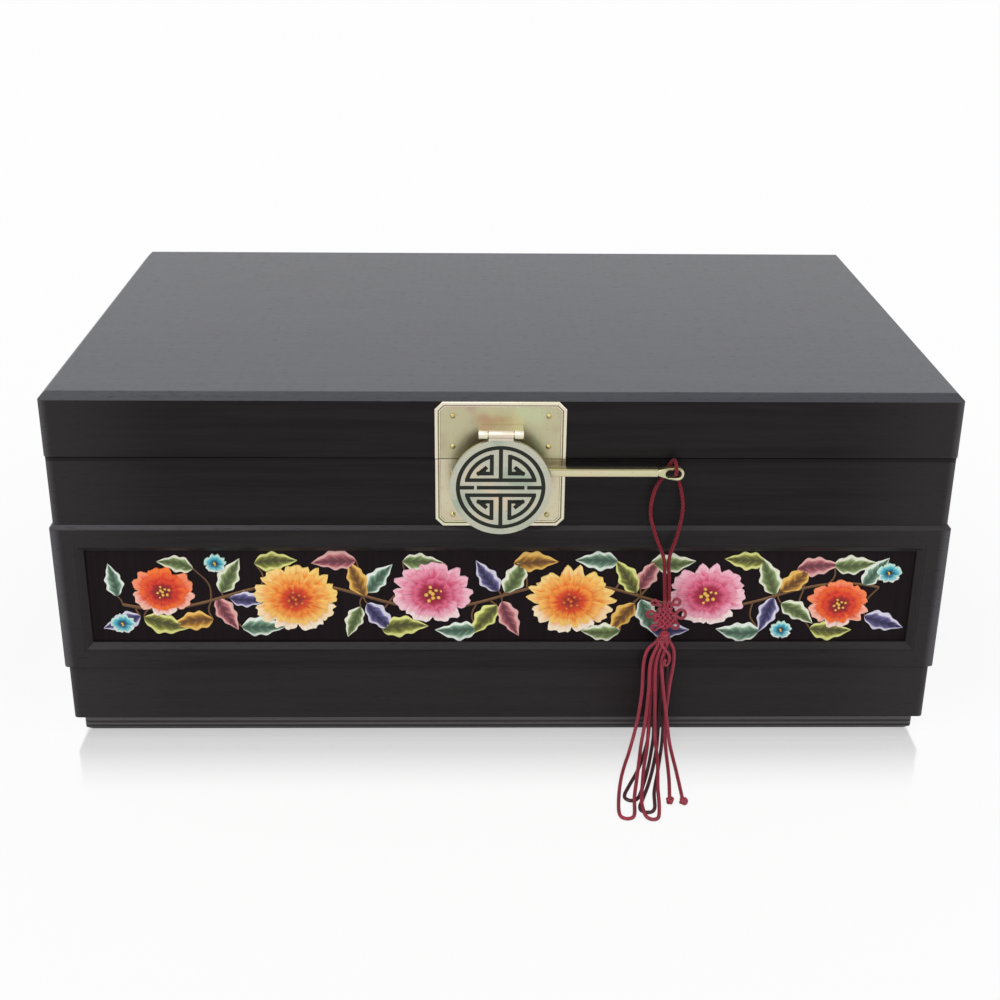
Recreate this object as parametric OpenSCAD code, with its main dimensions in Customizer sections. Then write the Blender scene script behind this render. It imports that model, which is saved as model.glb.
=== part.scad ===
// Lidded wooden keepsake box with an embroidered silk panel, a round hasp,
// a sliding lock pin and a knotted cord tassel.
// Millimetres, +Z up, the front faces -Y, the origin is under the middle of the box.

/* [Box] */
// Width over the lid, left to right
box_w = 360; // [300:1:420]
// Depth over the lid, front to back
box_d = 222.4; // [180:0.2:260]
// Thickness of the lid and case walls
wall = 10; // [8:0.5:12]
// Rounding of the upright corners
corner_r = 2; // [1:0.5:3]
// Height of the plinth under the case
plinth_h = 8.8; // [6:0.1:14]
// How far the plinth stands in from the case faces
plinth_inset = 3.2; // [2:0.1:6]
// Bevel along the bottom edge of the plinth
plinth_bevel = 2.4; // [1:0.1:4]
// Height of the plain band under the belt
base_h = 25; // [15:0.5:40]
// Height of the belt that holds the embroidery
belt_h = 64.1; // [55:0.1:80]
// Height of the plain band over the belt
upper_h = 28.8; // [28:0.1:36]
// How far the case faces stand in from the lid faces
case_inset = 0.3; // [0.3:0.1:1.2]
// How far the belt stands out from the case faces
belt_proud = 1.3; // [1:0.1:2.4]
// Depth of the rebate that the belt is let into
belt_let_in = 4.4; // [3:0.1:5]
// Bevel along the top edge of the belt
belt_bevel = 1.5; // [0.6:0.1:1.5]
// Thickness of the case floor
floor_t = 6; // [4:0.5:8]

/* [Lid] */
// Height of the lid
lid_h = 26.4; // [26:0.1:34]
// Gap between the case rim and the lid
seam_gap = 0.4; // [0.3:0.1:0.8]
// Bevel around the top of the lid
lid_bevel = 3; // [2:0.1:4]
// Thickness of the lid board
lid_board = 8; // [6:0.5:10]

/* [Lining] */
// Thickness of the lining boards in the case
liner_t = 3; // [2:0.5:4]
// How far the lining stands above the rim and locates the lid
lip_h = 4; // [2:0.5:6]
// Thickness of the pad on the floor
pad_t = 4; // [2:0.5:6]
// Thickness of the padded lining in the lid
lid_lining_t = 3.5; // [3:0.5:5]
// Thickness of the mirror glass
mirror_t = 2.4; // [2:0.1:3]
// Width of the padded border around the mirror
mirror_border = 46; // [30:1:60]
// Fitting clearance of boards and glass
fit_clear = 0.2; // [0.1:0.05:0.4]

/* [Window] */
// Width of the frame posts beside the window
stile_w = 9.5; // [8:0.1:14]
// Height of the frame rail over the window
rail_top_h = 8.7; // [6:0.1:12]
// Height of the frame rail under the window
rail_low_h = 7.6; // [6:0.1:12]
// Depth of the silk face behind the frame face
window_recess = 3; // [2:0.1:3.6]
// Width of the bevelled moulding inside the window
moulding_w = 3.1; // [2:0.1:4]
// Flat land at the outer edge of the moulding
moulding_land = 0.6; // [0.3:0.1:1]
// Height of the moulding at its inner edge
moulding_edge = 1; // [0.5:0.1:1.4]

/* [Embroidery] */
// Height of each layer of stitching
stitch_t = 0.3; // [0.2:0.05:0.5]
// Half width of the embroidered vine
vine_r = 0.7; // [0.5:0.1:1.2]

/* [Lock] */
// Sideways place of the lock, measured from the middle
lock_x = -1.2; // [-10:0.1:10]
// Width of the lock plates
plate_w = 51.4; // [44:0.2:60]
// Height of the upper lock plate
plate_upper_h = 23.3; // [20:0.1:24]
// Thickness of the lock plates
plate_t = 1.2; // [1:0.1:1.6]
// Corner cut of the lock plates
plate_cut = 3; // [2:0.1:5]
// Width of the raised rim on the lock plates
plate_rim = 1.5; // [1:0.1:2.5]
// Depth of the plate face below its rim
plate_sink = 0.3; // [0.2:0.05:0.4]
// Gap between the plates and the seam or the belt
plate_gap = 0.2; // [0.1:0.05:0.5]
// Radius of the nail heads
nail_head_r = 1.1; // [0.9:0.1:1.5]
// Height of the nail heads
nail_head_h = 0.6; // [0.4:0.1:0.9]
// Radius of the nail shanks
nail_r = 0.5; // [0.4:0.05:0.6]
// Length of the nail shanks in the wood
nail_len = 6; // [4:0.5:7]
// Nails stand this far in from the sides of the plates
nail_in = 7; // [6:0.1:8]
// Nails stand this far under the upper edge of each plate
nail_down = 5.8; // [4:0.1:6.5]
// Nails stand this far over the lower edge of each plate
nail_up = 4.8; // [4:0.1:6]
// Radius of the hasp disc
disc_r = 19.8; // [17:0.1:21]
// Thickness of the hasp disc
disc_t = 2; // [1.6:0.1:3]
// Height of the hasp hinge axis over the lower edge of the lid
hasp_axis_up = 13.3; // [12:0.1:15]
// Distance of the hasp hinge axis from the lid face
hasp_axis_out = 9.6; // [9.4:0.1:11]
// Radius of the hasp hinge barrel
barrel_r = 1.7; // [1.5:0.1:2]
// Width of the hasp hinge barrel
barrel_w = 17.4; // [15:0.2:23]
// Width of the middle knuckle, part of the disc
knuckle_w = 9.6; // [8:0.2:12]
// Radius of the hasp hinge pin
hasp_pin_r = 0.8; // [0.6:0.05:0.9]
// Running clearance of pins in their bores
run_clear = 0.06; // [0.04:0.01:0.1]
// Side gap between hinge knuckles
knuckle_gap = 0.3; // [0.2:0.05:0.5]

/* [Lock pin] */
// Side of the square lock pin
pin_side = 3.2; // [2.6:0.1:3.4]
// Clearance around the lock pin in its holes
pin_clear = 0.2; // [0.15:0.05:0.3]
// Distance of the lock pin axis from the lid face
pin_out = 5.6; // [5.4:0.1:5.8]
// Wall of the staples and the lug around the lock pin
staple_wall = 1.2; // [1:0.1:1.4]
// Width of each staple
staple_w = 3; // [2:0.1:4]
// Distance of each staple from the middle of the lock
staple_x = 10; // [8.5:0.1:12]
// Width of the lug on the back of the disc
lug_w = 6; // [4:0.1:7]
// Length of the lock pin from its tip to the far end of its eye
pin_len = 65.9; // [55:0.1:75]
// Length of the eye at the end of the lock pin
eye_len = 12.4; // [10:0.1:14]
// Radius of the round end of the eye
eye_r = 2.75; // [2.4:0.05:3]
// Radius of the round end of the hole in the eye
eye_hole_r = 1.6; // [1.4:0.05:1.8]
// Length of the hole in the eye
eye_hole_len = 6.2; // [5:0.1:7]
// Thickness of the eye
eye_t = 2.6; // [2:0.1:3]
// How far the tip stands through the right staple at rest
tip_through = 2.5; // [1:0.1:3]

/* [Back hinges] */
// Width of each back hinge
hinge_w = 38; // [30:1:50]
// Distance of each hinge from the end of the box
hinge_in = 52; // [40:1:80]
// Height of the hinge leaves on the case and the lid
leaf_h = 15; // [12:0.5:18]
// Thickness of the hinge leaves
leaf_t = 1.4; // [1:0.1:1.8]
// Outer radius of the hinge barrel
hinge_barrel_r = 2.6; // [2.2:0.1:3]
// Radius of the hinge pin
hinge_pin_r = 1.3; // [1:0.1:1.5]
// Clearance between moving hinge parts
hinge_clear = 0.35; // [0.3:0.05:0.5]
// Radius of the screw heads
screw_head_r = 2.4; // [2:0.1:3]
// Height of the screw heads
screw_head_h = 0.8; // [0.6:0.1:1]
// Radius of the screw shanks
screw_r = 1.1; // [0.9:0.1:1.3]
// Length of the screws in the wood
screw_len = 7; // [5:0.5:7]

/* [Hasp ornament] */
// Width of the dark lines let into the disc
line_w = 1.5; // [1:0.1:1.8]
// Depth of the dark lines
line_depth = 0.5; // [0.3:0.1:0.8]
// Clearance around the dark inlay
inlay_clear = 0.04; // [0.02:0.01:0.08]

/* [Hidden] */
$fn = 48;
// Cuts run this far past the faces that they open
over = 1;

// Heights from the floor up
belt_z = plinth_h + base_h;
belt_top = belt_z + belt_h;
rim_z = belt_top + upper_h;
lid_z = rim_z + seam_gap;
top_z = lid_z + lid_h;

// Outlines seen from above
case_w = box_w - 2 * case_inset;
case_d = box_d - 2 * case_inset;
belt_w = case_w + 2 * belt_proud;
belt_d = case_d + 2 * belt_proud;
belt_t = belt_proud + belt_let_in;
inner_w = case_w - 2 * wall;
inner_d = case_d - 2 * wall;
lid_inner_w = box_w - 2 * wall;
lid_inner_d = box_d - 2 * wall;

// Faces that the front hardware and the panel lie on
lid_face = -box_d / 2;
case_face = -case_d / 2;
belt_face = -belt_d / 2;
silk_face = belt_face + window_recess;

// Window in the front of the belt
window_w = belt_w - 2 * stile_w;
window_z = belt_z + rail_low_h;
window_h = belt_h - rail_top_h - rail_low_h;
view_w = window_w - 2 * moulding_w;
view_h = window_h - 2 * moulding_w;
view_z = window_z + window_h / 2;

// Lock plates, hasp and pin
plate_low_z = belt_top + plate_gap;
plate_low_h = rim_z - plate_gap - plate_low_z;
plate_up_z = lid_z + plate_gap;
hasp_z = lid_z + hasp_axis_up;
hasp_y = lid_face - hasp_axis_out;
disc_drop = barrel_r + knuckle_gap / 2;
disc_z = hasp_z - disc_drop - disc_r;
disc_back = hasp_y + disc_t / 2;
pin_hole = pin_side + 2 * pin_clear;
staple_half = pin_hole / 2 + staple_wall;
pin_z = plate_low_z + plate_low_h - staple_half;
pin_y = lid_face - pin_out;
staple_front = disc_back + pin_clear;
lug_back = lid_face - plate_t - 2 * plate_sink;
tip_x = lock_x + staple_x - staple_w / 2 - tip_through;
eye_x = tip_x + pin_len - eye_r;
eye_z = pin_z - (eye_r - pin_side / 2) / 2;

// Back hinges
hinge_y = box_d / 2 + hinge_clear + hinge_barrel_r;
hinge_z = (rim_z + lid_z) / 2;
hinge_x = box_w / 2 - hinge_in - hinge_w / 2;
hinge_third = hinge_w / 3;

// Cord of the tassel: diameter, sides and routes
cord_d = 1.5;
cord_sides = 8;
loop_route = [
    [66, -116.8, 67.4], [65.4, -116.8, 77], [64.6, -116.8, 86], [61.2, -116.6, 95],
    [58.4, -116, 106], [60.2, -114.2, 115.5], [63.2, -113.5, 120.6], [65, -113.6, 124.6],
    [66.2, -114.8, 127.4], [66.9, -117.2, 128.2], [67.2, -119.5, 126], [67.3, -119, 123.6],
    [67.4, -116.8, 122.4], [67.9, -114.6, 121.6], [69.2, -113.8, 118.4], [70.8, -115.4, 112],
    [71, -116.5, 106], [69.4, -116.8, 96], [66.8, -116.8, 86], [67.2, -116.8, 77],
    [67.8, -116.8, 67.4]
];
outer_route = [
    [63.7, -116.9, 48.2], [60.4, -117, 45], [58.9, -117.2, 40], [58.4, -118.2, 24],
    [56.6, -119.8, 10], [53.4, -126.4, 1.6], [48.6, -144, 0.9], [45.9, -161, 0.8],
    [45.5, -170.2, 0.8], [46.3, -172.3, 0.8], [48.4, -173.2, 0.8], [50.5, -172.3, 0.8],
    [51.3, -170.2, 0.8], [52, -162, 2.6], [54.2, -149, 2.8], [56.6, -135, 2.8],
    [58.5, -124.2, 3.6], [60.3, -119.5, 12], [61.2, -118.5, 26], [61.5, -118.5, 40],
    [64.2, -118.5, 48.2]
];
front_route = [
    [65.4, -116.8, 48.2], [63.1, -116.8, 41], [62.5, -116.9, 28], [62.2, -117.2, 14],
    [61.8, -119.6, 5.6], [60.8, -126, 2.8], [58.4, -138, 2.6], [56.2, -152, 2.6],
    [54.6, -165, 2.6], [55, -171, 2.2], [55.8, -173.1, 1.5], [57.9, -174, 1],
    [60, -173.1, 0.8], [60.8, -171, 0.8], [61.6, -164, 1.7], [62, -156, 2.6],
    [63.8, -139, 2.6], [64.5, -128, 2.8], [64.6, -120.6, 5.4], [64.2, -118.5, 18],
    [63.8, -118.5, 40], [65.95, -118.5, 48.2]
];
rear_route = [
    [64, -115.1, 48.2], [62.9, -115.1, 28], [62.6, -115.3, 10], [62.2, -117.2, 2.6],
    [60.6, -123, 0.8], [55.8, -139, 0.8], [50.9, -151, 0.8], [48.6, -157.2, 0.8],
    [48.7, -159.4, 0.8], [50.3, -160.9, 0.8], [52.5, -160.7, 0.8], [53.9, -159, 0.8],
    [57, -149.4, 0.8], [60.2, -137, 0.8], [63.2, -123, 0.8], [64.4, -117.2, 2.6],
    [64.6, -115.3, 10], [65.7, -115.1, 48.2]
];
inner_route = [
    [67.4, -115.1, 48.2], [66.6, -115.3, 10], [66.2, -117.2, 2.6], [65.2, -123, 0.8],
    [62.2, -137, 0.8], [59, -149.4, 0.8], [55.8, -159.4, 0.8], [53.9, -165.4, 0.8],
    [54.2, -167.7, 0.8], [56.1, -169, 0.8], [58.3, -168.6, 0.8], [59.5, -166.6, 0.8],
    [60.7, -155, 0.8], [63.6, -141, 0.8], [67, -124, 0.8], [68.2, -117.2, 2.6],
    [68.6, -115.3, 10], [69.1, -115.1, 48.2]
];
left_end_route = [
    [68.9, -116.9, 48.2], [70.6, -116.8, 45], [71.1, -116.8, 39], [70, -116.8, 27.6],
    [69.2, -116.9, 14], [69.1, -119.2, 3.8], [68.8, -127, 0.8], [67.7, -146, 0.8],
    [66.2, -160.6, 0.8]
];
right_end_route = [
    [67.7, -118.5, 48.2], [66, -118.5, 40], [66.8, -118.5, 30], [69.2, -118.7, 13.6],
    [70.6, -122.2, 3.2], [71.2, -132, 0.8], [71.4, -148, 0.8], [71.4, -161, 0.8]
];

// Knots of the tassel
knot_w = 8.2;
knot_h = 16;
knot_t = 4.4;
knot_x = 66.5;
knot_y = -116.8;
knot_z = 59.4;
ear_r = 1.9;
ear_places = [[4.2, 7.6], [5.6, 1.6], [4.2, -3.6], [-4.2, 7.6], [-5.6, 1.6], [-4.2, -3.6]];
hitch_r = 3.4;
hitch_h = 3.2;
hitch_x = 66.6;
end_knot_r = 1.8;

// Vine of the embroidery: waves along the window and their height as a share of the view
vine_waves = 3;
vine_height_share = 0.14;
vine_steps = 60;
vine_reach_share = 0.46;
// Flowers: place along and across the view, radius as a share of the view height, petals
flower_shares = [
    [-0.41, 0.06, 0.27, 6], [-0.25, -0.02, 0.38, 9], [-0.084, 0.04, 0.35, 7],
    [0.084, -0.04, 0.38, 9], [0.25, 0.02, 0.35, 7], [0.412, -0.08, 0.27, 6],
    [-0.462, -0.3, 0.11, 5], [0.47, 0.26, 0.11, 5], [-0.345, 0.36, 0.1, 5],
    [0.344, -0.37, 0.1, 5]
];
petal_depth_share = 0.14;
flower_stretch_share = 1.16;
petal_steps = 6;
flower_inner_share = 0.6;
flower_heart_share = 0.24;
// Leaves: place along and across the view, length as a share of the view height, angle
leaf_shares = [
    [-0.466, 0, 0.36, 100], [-0.44, -0.22, 0.4, 200], [-0.436, -0.24, 0.46, -14],
    [-0.372, 0.3, 0.36, 168], [-0.34, 0.04, 0.42, 62], [-0.345, -0.02, 0.4, -62],
    [-0.352, -0.26, 0.42, 190], [-0.33, -0.02, 0.36, -5], [-0.318, -0.34, 0.44, 0],
    [-0.298, 0.36, 0.42, 4], [-0.166, 0, 0.42, 112], [-0.164, 0.04, 0.4, 50],
    [-0.172, -0.12, 0.36, -112], [-0.164, -0.08, 0.42, -48], [-0.176, 0.39, 0.44, 184],
    [-0.146, -0.38, 0.46, 6], [-0.12, 0.38, 0.4, -2], [0.004, 0.04, 0.44, 66],
    [-0.004, 0.06, 0.4, 124], [0, -0.06, 0.42, -66], [-0.006, -0.1, 0.42, -128],
    [0.014, 0.36, 0.44, 2], [-0.03, -0.36, 0.42, 182], [0.168, 0.08, 0.38, 62],
    [0.164, 0.04, 0.42, 122], [0.17, -0.04, 0.44, -66], [0.162, -0.08, 0.4, -126],
    [0.18, 0.37, 0.44, 2], [0.182, -0.36, 0.4, -2], [0.14, 0.38, 0.42, 178],
    [0.146, -0.38, 0.4, 180], [0.334, 0.02, 0.44, 112], [0.34, 0.06, 0.42, 46],
    [0.332, -0.02, 0.4, -108], [0.342, -0.08, 0.4, -34], [0.358, 0.3, 0.42, 6],
    [0.318, 0.38, 0.4, 176], [0.318, -0.38, 0.44, 178], [0.38, -0.36, 0.42, -2],
    [0.44, 0.12, 0.38, 52], [0.446, -0.22, 0.42, -18], [0.402, 0.34, 0.42, 4]
];
leaf_half_share = 0.22;
leaf_fullness_share = 0.72;
leaf_steps = 8;

// Ornament of the disc, in shares of its radius
ring_share = 0.84;
rail_share = 0.16;
rail_reach_share = 0.66;
slit_share = 0.43;
slit_start_share = 0.56;
arc_share = 0.68;
arc_from_deg = 12;
arc_to_deg = 75;
key_x_share = 0.177;
key_z_share = 0.3;
key_out_share = 0.43;
key_hook_share = [0.3, 0.41];

// Shapes shared by the boards

module slab(w, d, h) {
    translate([-w / 2, -d / 2, 0]) cube([w, d, h]);
}

module round_block(w, d, h) {
    slab(w - 2 * corner_r, d, h);
    slab(w, d - 2 * corner_r, h);
    for (x = [-1, 1], y = [-1, 1])
        translate([x * (w / 2 - corner_r), y * (d / 2 - corner_r), 0])
            cylinder(r = corner_r, h = h);
}

// Face outline of a block with its top and bottom edges cut at 45 degrees
function bevel_outline(w, h, top, bottom) = [
    [-w / 2 + bottom, 0], [w / 2 - bottom, 0], [w / 2, bottom], [w / 2, h - top],
    [w / 2 - top, h], [-w / 2 + top, h], [-w / 2, h - top], [-w / 2, bottom]
];

module bevelled_block(w, d, h, top, bottom) {
    intersection() {
        round_block(w, d, h);
        rotate([90, 0, 0]) linear_extrude(height = d, center = true)
            polygon(bevel_outline(w, h, top, bottom));
        rotate([90, 0, 90]) linear_extrude(height = w, center = true)
            polygon(bevel_outline(d, h, top, bottom));
    }
}

// One side of a ring of boards with mitred ends
function mitre_outline(w, d, t) = [
    [-w / 2 - over, -d / 2 - over], [w / 2 + over, -d / 2 - over],
    [w / 2 - t, -d / 2 + t], [-w / 2 + t, -d / 2 + t]
];

module mitre(side, w, d, t, h) {
    turned = side == "left" || side == "right";
    flip = side == "back" || side == "right" ? 180 : 0;
    quarter = turned ? -90 : 0;
    rotate([0, 0, flip + quarter]) linear_extrude(height = h)
        polygon(turned ? mitre_outline(d, w, t) : mitre_outline(w, d, t));
}

// Wooden case

module plinth() {
    color("#1d1918")
        bevelled_block(case_w - 2 * plinth_inset, case_d - 2 * plinth_inset, plinth_h, 0, plinth_bevel);
}

module case_floor() {
    color("#3a2a20") translate([0, 0, plinth_h])
        slab(inner_w - 2 * fit_clear, inner_d - 2 * fit_clear, floor_t);
}

// A case wall: full height, with the rebate that takes the belt
module case_wall(side) {
    difference() {
        translate([0, 0, plinth_h]) intersection() {
            round_block(case_w, case_d, rim_z - plinth_h);
            mitre(side, case_w, case_d, wall, rim_z - plinth_h);
        }
        translate([0, 0, belt_z]) difference() {
            slab(case_w + 2 * over, case_d + 2 * over, belt_h);
            translate([0, 0, -over])
                slab(case_w - 2 * belt_let_in, case_d - 2 * belt_let_in, belt_h + 2 * over);
        }
    }
}

module case_front() {
    color("#241f1f") difference() {
        case_wall("front");
        nail_holes(case_face, plate_low_z, plate_low_h, nail_r + run_clear);
    }
}

module case_back() {
    color("#241f1f") difference() {
        case_wall("back");
        screw_holes(case_d / 2, case_screw_z, screw_r + run_clear);
    }
}

module case_left() {
    color("#241f1f") case_wall("left");
}

module case_right() {
    color("#241f1f") case_wall("right");
}

module belt_board(side) {
    translate([0, 0, belt_z]) intersection() {
        bevelled_block(belt_w, belt_d, belt_h, belt_bevel, 0);
        mitre(side, belt_w, belt_d, belt_t, belt_h);
    }
}

// The front of the belt is a frame: two rails and two posts
module belt_rail(z, h) {
    color("#2b2626") intersection() {
        belt_board("front");
        translate([0, 0, z]) slab(belt_w + 2 * over, belt_d + 2 * over, h);
    }
}

module belt_top_rail() {
    belt_rail(window_z + window_h, rail_top_h + over);
}

module belt_bottom_rail() {
    belt_rail(belt_z - over, rail_low_h + over);
}

module belt_stile(x) {
    color("#2b2626") intersection() {
        belt_board("front");
        translate([x * (window_w / 2 + stile_w), 0, window_z])
            slab(2 * stile_w, belt_d + 2 * over, window_h);
    }
}

module belt_stile_left() {
    belt_stile(-1);
}

module belt_stile_right() {
    belt_stile(1);
}

module belt_left() {
    color("#2b2626") belt_board("left");
}

module belt_right() {
    color("#2b2626") belt_board("right");
}

module belt_back() {
    color("#2b2626") belt_board("back");
}

// Section across the opening of the moulding, from its back to its face
function opening_section(span) = [
    [-span / 2 + moulding_w, -over], [span / 2 - moulding_w, -over],
    [span / 2 - moulding_w, moulding_edge],
    [span / 2 - moulding_land, window_recess], [span / 2 - moulding_land, window_recess + over],
    [-span / 2 + moulding_land, window_recess + over], [-span / 2 + moulding_land, window_recess],
    [-span / 2 + moulding_w, moulding_edge]
];

module moulding_opening() {
    intersection() {
        linear_extrude(height = window_h, center = true) polygon(opening_section(window_w));
        rotate([0, 90, 0]) linear_extrude(height = window_w, center = true)
            polygon([for (p = opening_section(window_h)) [p[0], p[1]]]);
    }
}

// Four mitred strips with a sloping face
module window_moulding() {
    color("#332c2c") translate([0, silk_face, view_z]) mirror([0, 1, 0]) difference() {
        translate([-window_w / 2, 0, -window_h / 2]) cube([window_w, window_recess, window_h]);
        moulding_opening();
    }
}

module silk_panel() {
    color("#1b1216") translate([0, (silk_face + case_face + belt_let_in) / 2, window_z + fit_clear])
        slab(window_w - 2 * fit_clear, case_face + belt_let_in - silk_face, window_h - 2 * fit_clear);
}

// Embroidery: a flowering vine

function vine_y(u) = view_h * vine_height_share * sin(360 * vine_waves * u);

// Lays a flat outline on the silk, at a given layer of stitching
module stitched(layer, thickness) {
    translate([0, silk_face - layer * stitch_t, view_z]) rotate([90, 0, 0])
        linear_extrude(height = thickness) children();
}

function vine_u(i) = vine_reach_share * (2 * i / vine_steps - 1);

module embroidered_stems() {
    color("#7a5a34") stitched(0, stitch_t) polygon(concat(
        [for (i = [0:vine_steps]) [view_w * vine_u(i), vine_y(vine_u(i)) + vine_r]],
        [for (i = [vine_steps:-1:0]) [view_w * vine_u(i), vine_y(vine_u(i)) - vine_r]]
    ));
}

// Half width of a leaf of length one, fullest near its foot
function leaf_half(u) = leaf_half_share * sin(180 * pow(u, leaf_fullness_share));

// A pointed oval leaf that starts at the origin and lies along +X
function leaf_outline(length) = concat(
    [for (i = [0:leaf_steps]) length * [i / leaf_steps, leaf_half(i / leaf_steps)]],
    [for (i = [leaf_steps - 1:-1:1]) length * [i / leaf_steps, -leaf_half(i / leaf_steps)]]
);

module embroidered_leaves() {
    color("#a9b878") for (leaf = leaf_shares)
        stitched(1, stitch_t) translate([view_w * leaf[0], view_h * leaf[1]])
            rotate(leaf[3]) polygon(leaf_outline(view_h * leaf[2]));
}

// A flower outline with rounded petals around its heart
function flower_outline(radius, petals) = [
    for (i = [0:petals * petal_steps - 1])
        let (turn = 360 * i / (petals * petal_steps))
        radius * (1 - petal_depth_share * (1 - abs(sin(petals * turn / 2))))
            * [flower_stretch_share * sin(turn), cos(turn)]
];

module embroidered_flowers() {
    color("#e0763a") for (flower = flower_shares)
        translate([view_w * flower[0], 0, view_h * flower[1]]) {
            radius = view_h * flower[2];
            stitched(2, stitch_t) polygon(flower_outline(radius, flower[3]));
            stitched(3, stitch_t) rotate(180 / flower[3])
                polygon(flower_outline(radius * flower_inner_share, flower[3]));
            stitched(4, stitch_t) circle(r = radius * flower_heart_share);
        }
}

// Fabric lining

module liner(side) {
    color("#5e1520") translate([0, 0, plinth_h + floor_t + pad_t]) intersection() {
        slab(inner_w, inner_d, rim_z + lip_h - plinth_h - floor_t - pad_t);
        mitre(side, inner_w, inner_d, liner_t, rim_z + lip_h - plinth_h - floor_t - pad_t);
    }
}

module liner_front() {
    liner("front");
}

module liner_back() {
    liner("back");
}

module liner_left() {
    liner("left");
}

module liner_right() {
    liner("right");
}

module floor_pad() {
    color("#5e1520") translate([0, 0, plinth_h + floor_t])
        slab(inner_w - 2 * fit_clear, inner_d - 2 * fit_clear, pad_t);
}

// Lid

lid_wall_h = lid_h - lid_bevel;

module lid_wall(side) {
    color("#241f1f") translate([0, 0, lid_z]) intersection() {
        round_block(box_w, box_d, lid_wall_h);
        mitre(side, box_w, box_d, wall, lid_wall_h);
    }
}

module lid_front() {
    difference() {
        lid_wall("front");
        nail_holes(lid_face, plate_up_z, plate_upper_h, nail_r + run_clear);
    }
}

module lid_back() {
    difference() {
        lid_wall("back");
        screw_holes(box_d / 2, lid_screw_z, screw_r + run_clear);
    }
}

module lid_left() {
    lid_wall("left");
}

module lid_right() {
    lid_wall("right");
}

// The lid board covers the walls with a bevelled edge and fits between them
module lid_top() {
    color("#4a4646") {
        translate([0, 0, top_z - lid_bevel]) bevelled_block(box_w, box_d, lid_bevel, lid_bevel, 0);
        translate([0, 0, top_z - lid_board])
            slab(lid_inner_w - 2 * fit_clear, lid_inner_d - 2 * fit_clear, lid_board - lid_bevel / 2);
    }
}

lining_z = top_z - lid_board - lid_lining_t;
mirror_w = lid_inner_w - 2 * mirror_border;
mirror_d = lid_inner_d - 2 * mirror_border;

module lid_lining() {
    color("#5e1520") translate([0, 0, lining_z]) difference() {
        slab(lid_inner_w - 2 * fit_clear, lid_inner_d - 2 * fit_clear, lid_lining_t);
        translate([0, 0, -over]) slab(mirror_w, mirror_d, lid_lining_t + 2 * over);
    }
}

module lid_mirror() {
    color("#c9d2d6") translate([0, 0, top_z - lid_board - mirror_t])
        slab(mirror_w - 2 * fit_clear, mirror_d - 2 * fit_clear, mirror_t);
}

// Lock plates and nails

// Face outline of a plate from its seam edge upward, with the two far corners cut off
function plate_outline(inset, seam_edge, h) = [
    [-plate_w / 2 + inset, seam_edge], [plate_w / 2 - inset, seam_edge],
    [plate_w / 2 - inset, h - inset - plate_cut], [plate_w / 2 - inset - plate_cut, h - inset],
    [-plate_w / 2 + inset + plate_cut, h - inset], [-plate_w / 2 + inset, h - inset - plate_cut]
];

module nail_places(z, h) {
    for (x = [-1, 1], place = [z + nail_up, z + h - nail_down])
        translate([lock_x + x * (plate_w / 2 - nail_in), 0, place]) children();
}

module nail_holes(face, z, h, r) {
    nail_places(z, h) translate([0, face + nail_len + over / 2, 0])
        rotate([90, 0, 0]) cylinder(r = r, h = nail_len + over);
}

// A plate with a raised rim on all sides but the seam; a turn of 180 degrees hangs it from there
module lock_plate(face, seam_z, h, turn) {
    translate([lock_x, face, seam_z]) rotate([90, 0, 0]) rotate(turn) difference() {
        linear_extrude(height = plate_t) polygon(plate_outline(0, 0, h));
        translate([0, 0, plate_t - plate_sink]) linear_extrude(height = plate_t)
            polygon(plate_outline(plate_rim, -over, h));
    }
}

module plate_nails(face, z, h) {
    plate_front = face - plate_t + plate_sink;
    color("#d8c48a") nail_places(z, h) translate([0, plate_front, 0]) rotate([90, 0, 0]) {
        cylinder(r1 = nail_head_r, r2 = nail_r, h = nail_head_h);
        translate([0, 0, -plate_t - nail_len + 2 * plate_sink])
            cylinder(r = nail_r, h = plate_t + nail_len - plate_sink);
    }
}

module lock_plate_lower() {
    color("#cfc6a4") difference() {
        lock_plate(case_face, plate_low_z + plate_low_h, plate_low_h, 180);
        nail_holes(case_face - plate_t - over / 2, plate_low_z, plate_low_h, nail_r + run_clear);
    }
}

module lock_plate_upper() {
    color("#cfc6a4") difference() {
        lock_plate(lid_face, plate_up_z, plate_upper_h, 0);
        nail_holes(lid_face - plate_t - over / 2, plate_up_z, plate_upper_h, nail_r + run_clear);
    }
}

module plate_nails_lower() {
    plate_nails(case_face, plate_low_z, plate_low_h);
}

module plate_nails_upper() {
    plate_nails(lid_face, plate_up_z, plate_upper_h);
}

// Block with a square hole along X for the lock pin
module pin_guide(x, w, back, front) {
    difference() {
        translate([x - w / 2, front, pin_z - staple_half]) cube([w, back - front, 2 * staple_half]);
        translate([x - w / 2 - over, pin_y - pin_hole / 2, pin_z - pin_hole / 2])
            cube([w + 2 * over, pin_hole, pin_hole]);
    }
}

// A staple sits on the face of the lower plate, up to the seam
module staple(x) {
    color("#c3b98f") pin_guide(x, staple_w, case_face - plate_t + plate_sink, staple_front);
}

module staple_left() {
    staple(lock_x - staple_x);
}

module staple_right() {
    staple(lock_x + staple_x);
}

// Hasp

fixed_w = (barrel_w - knuckle_w) / 2 - knuckle_gap;

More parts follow.
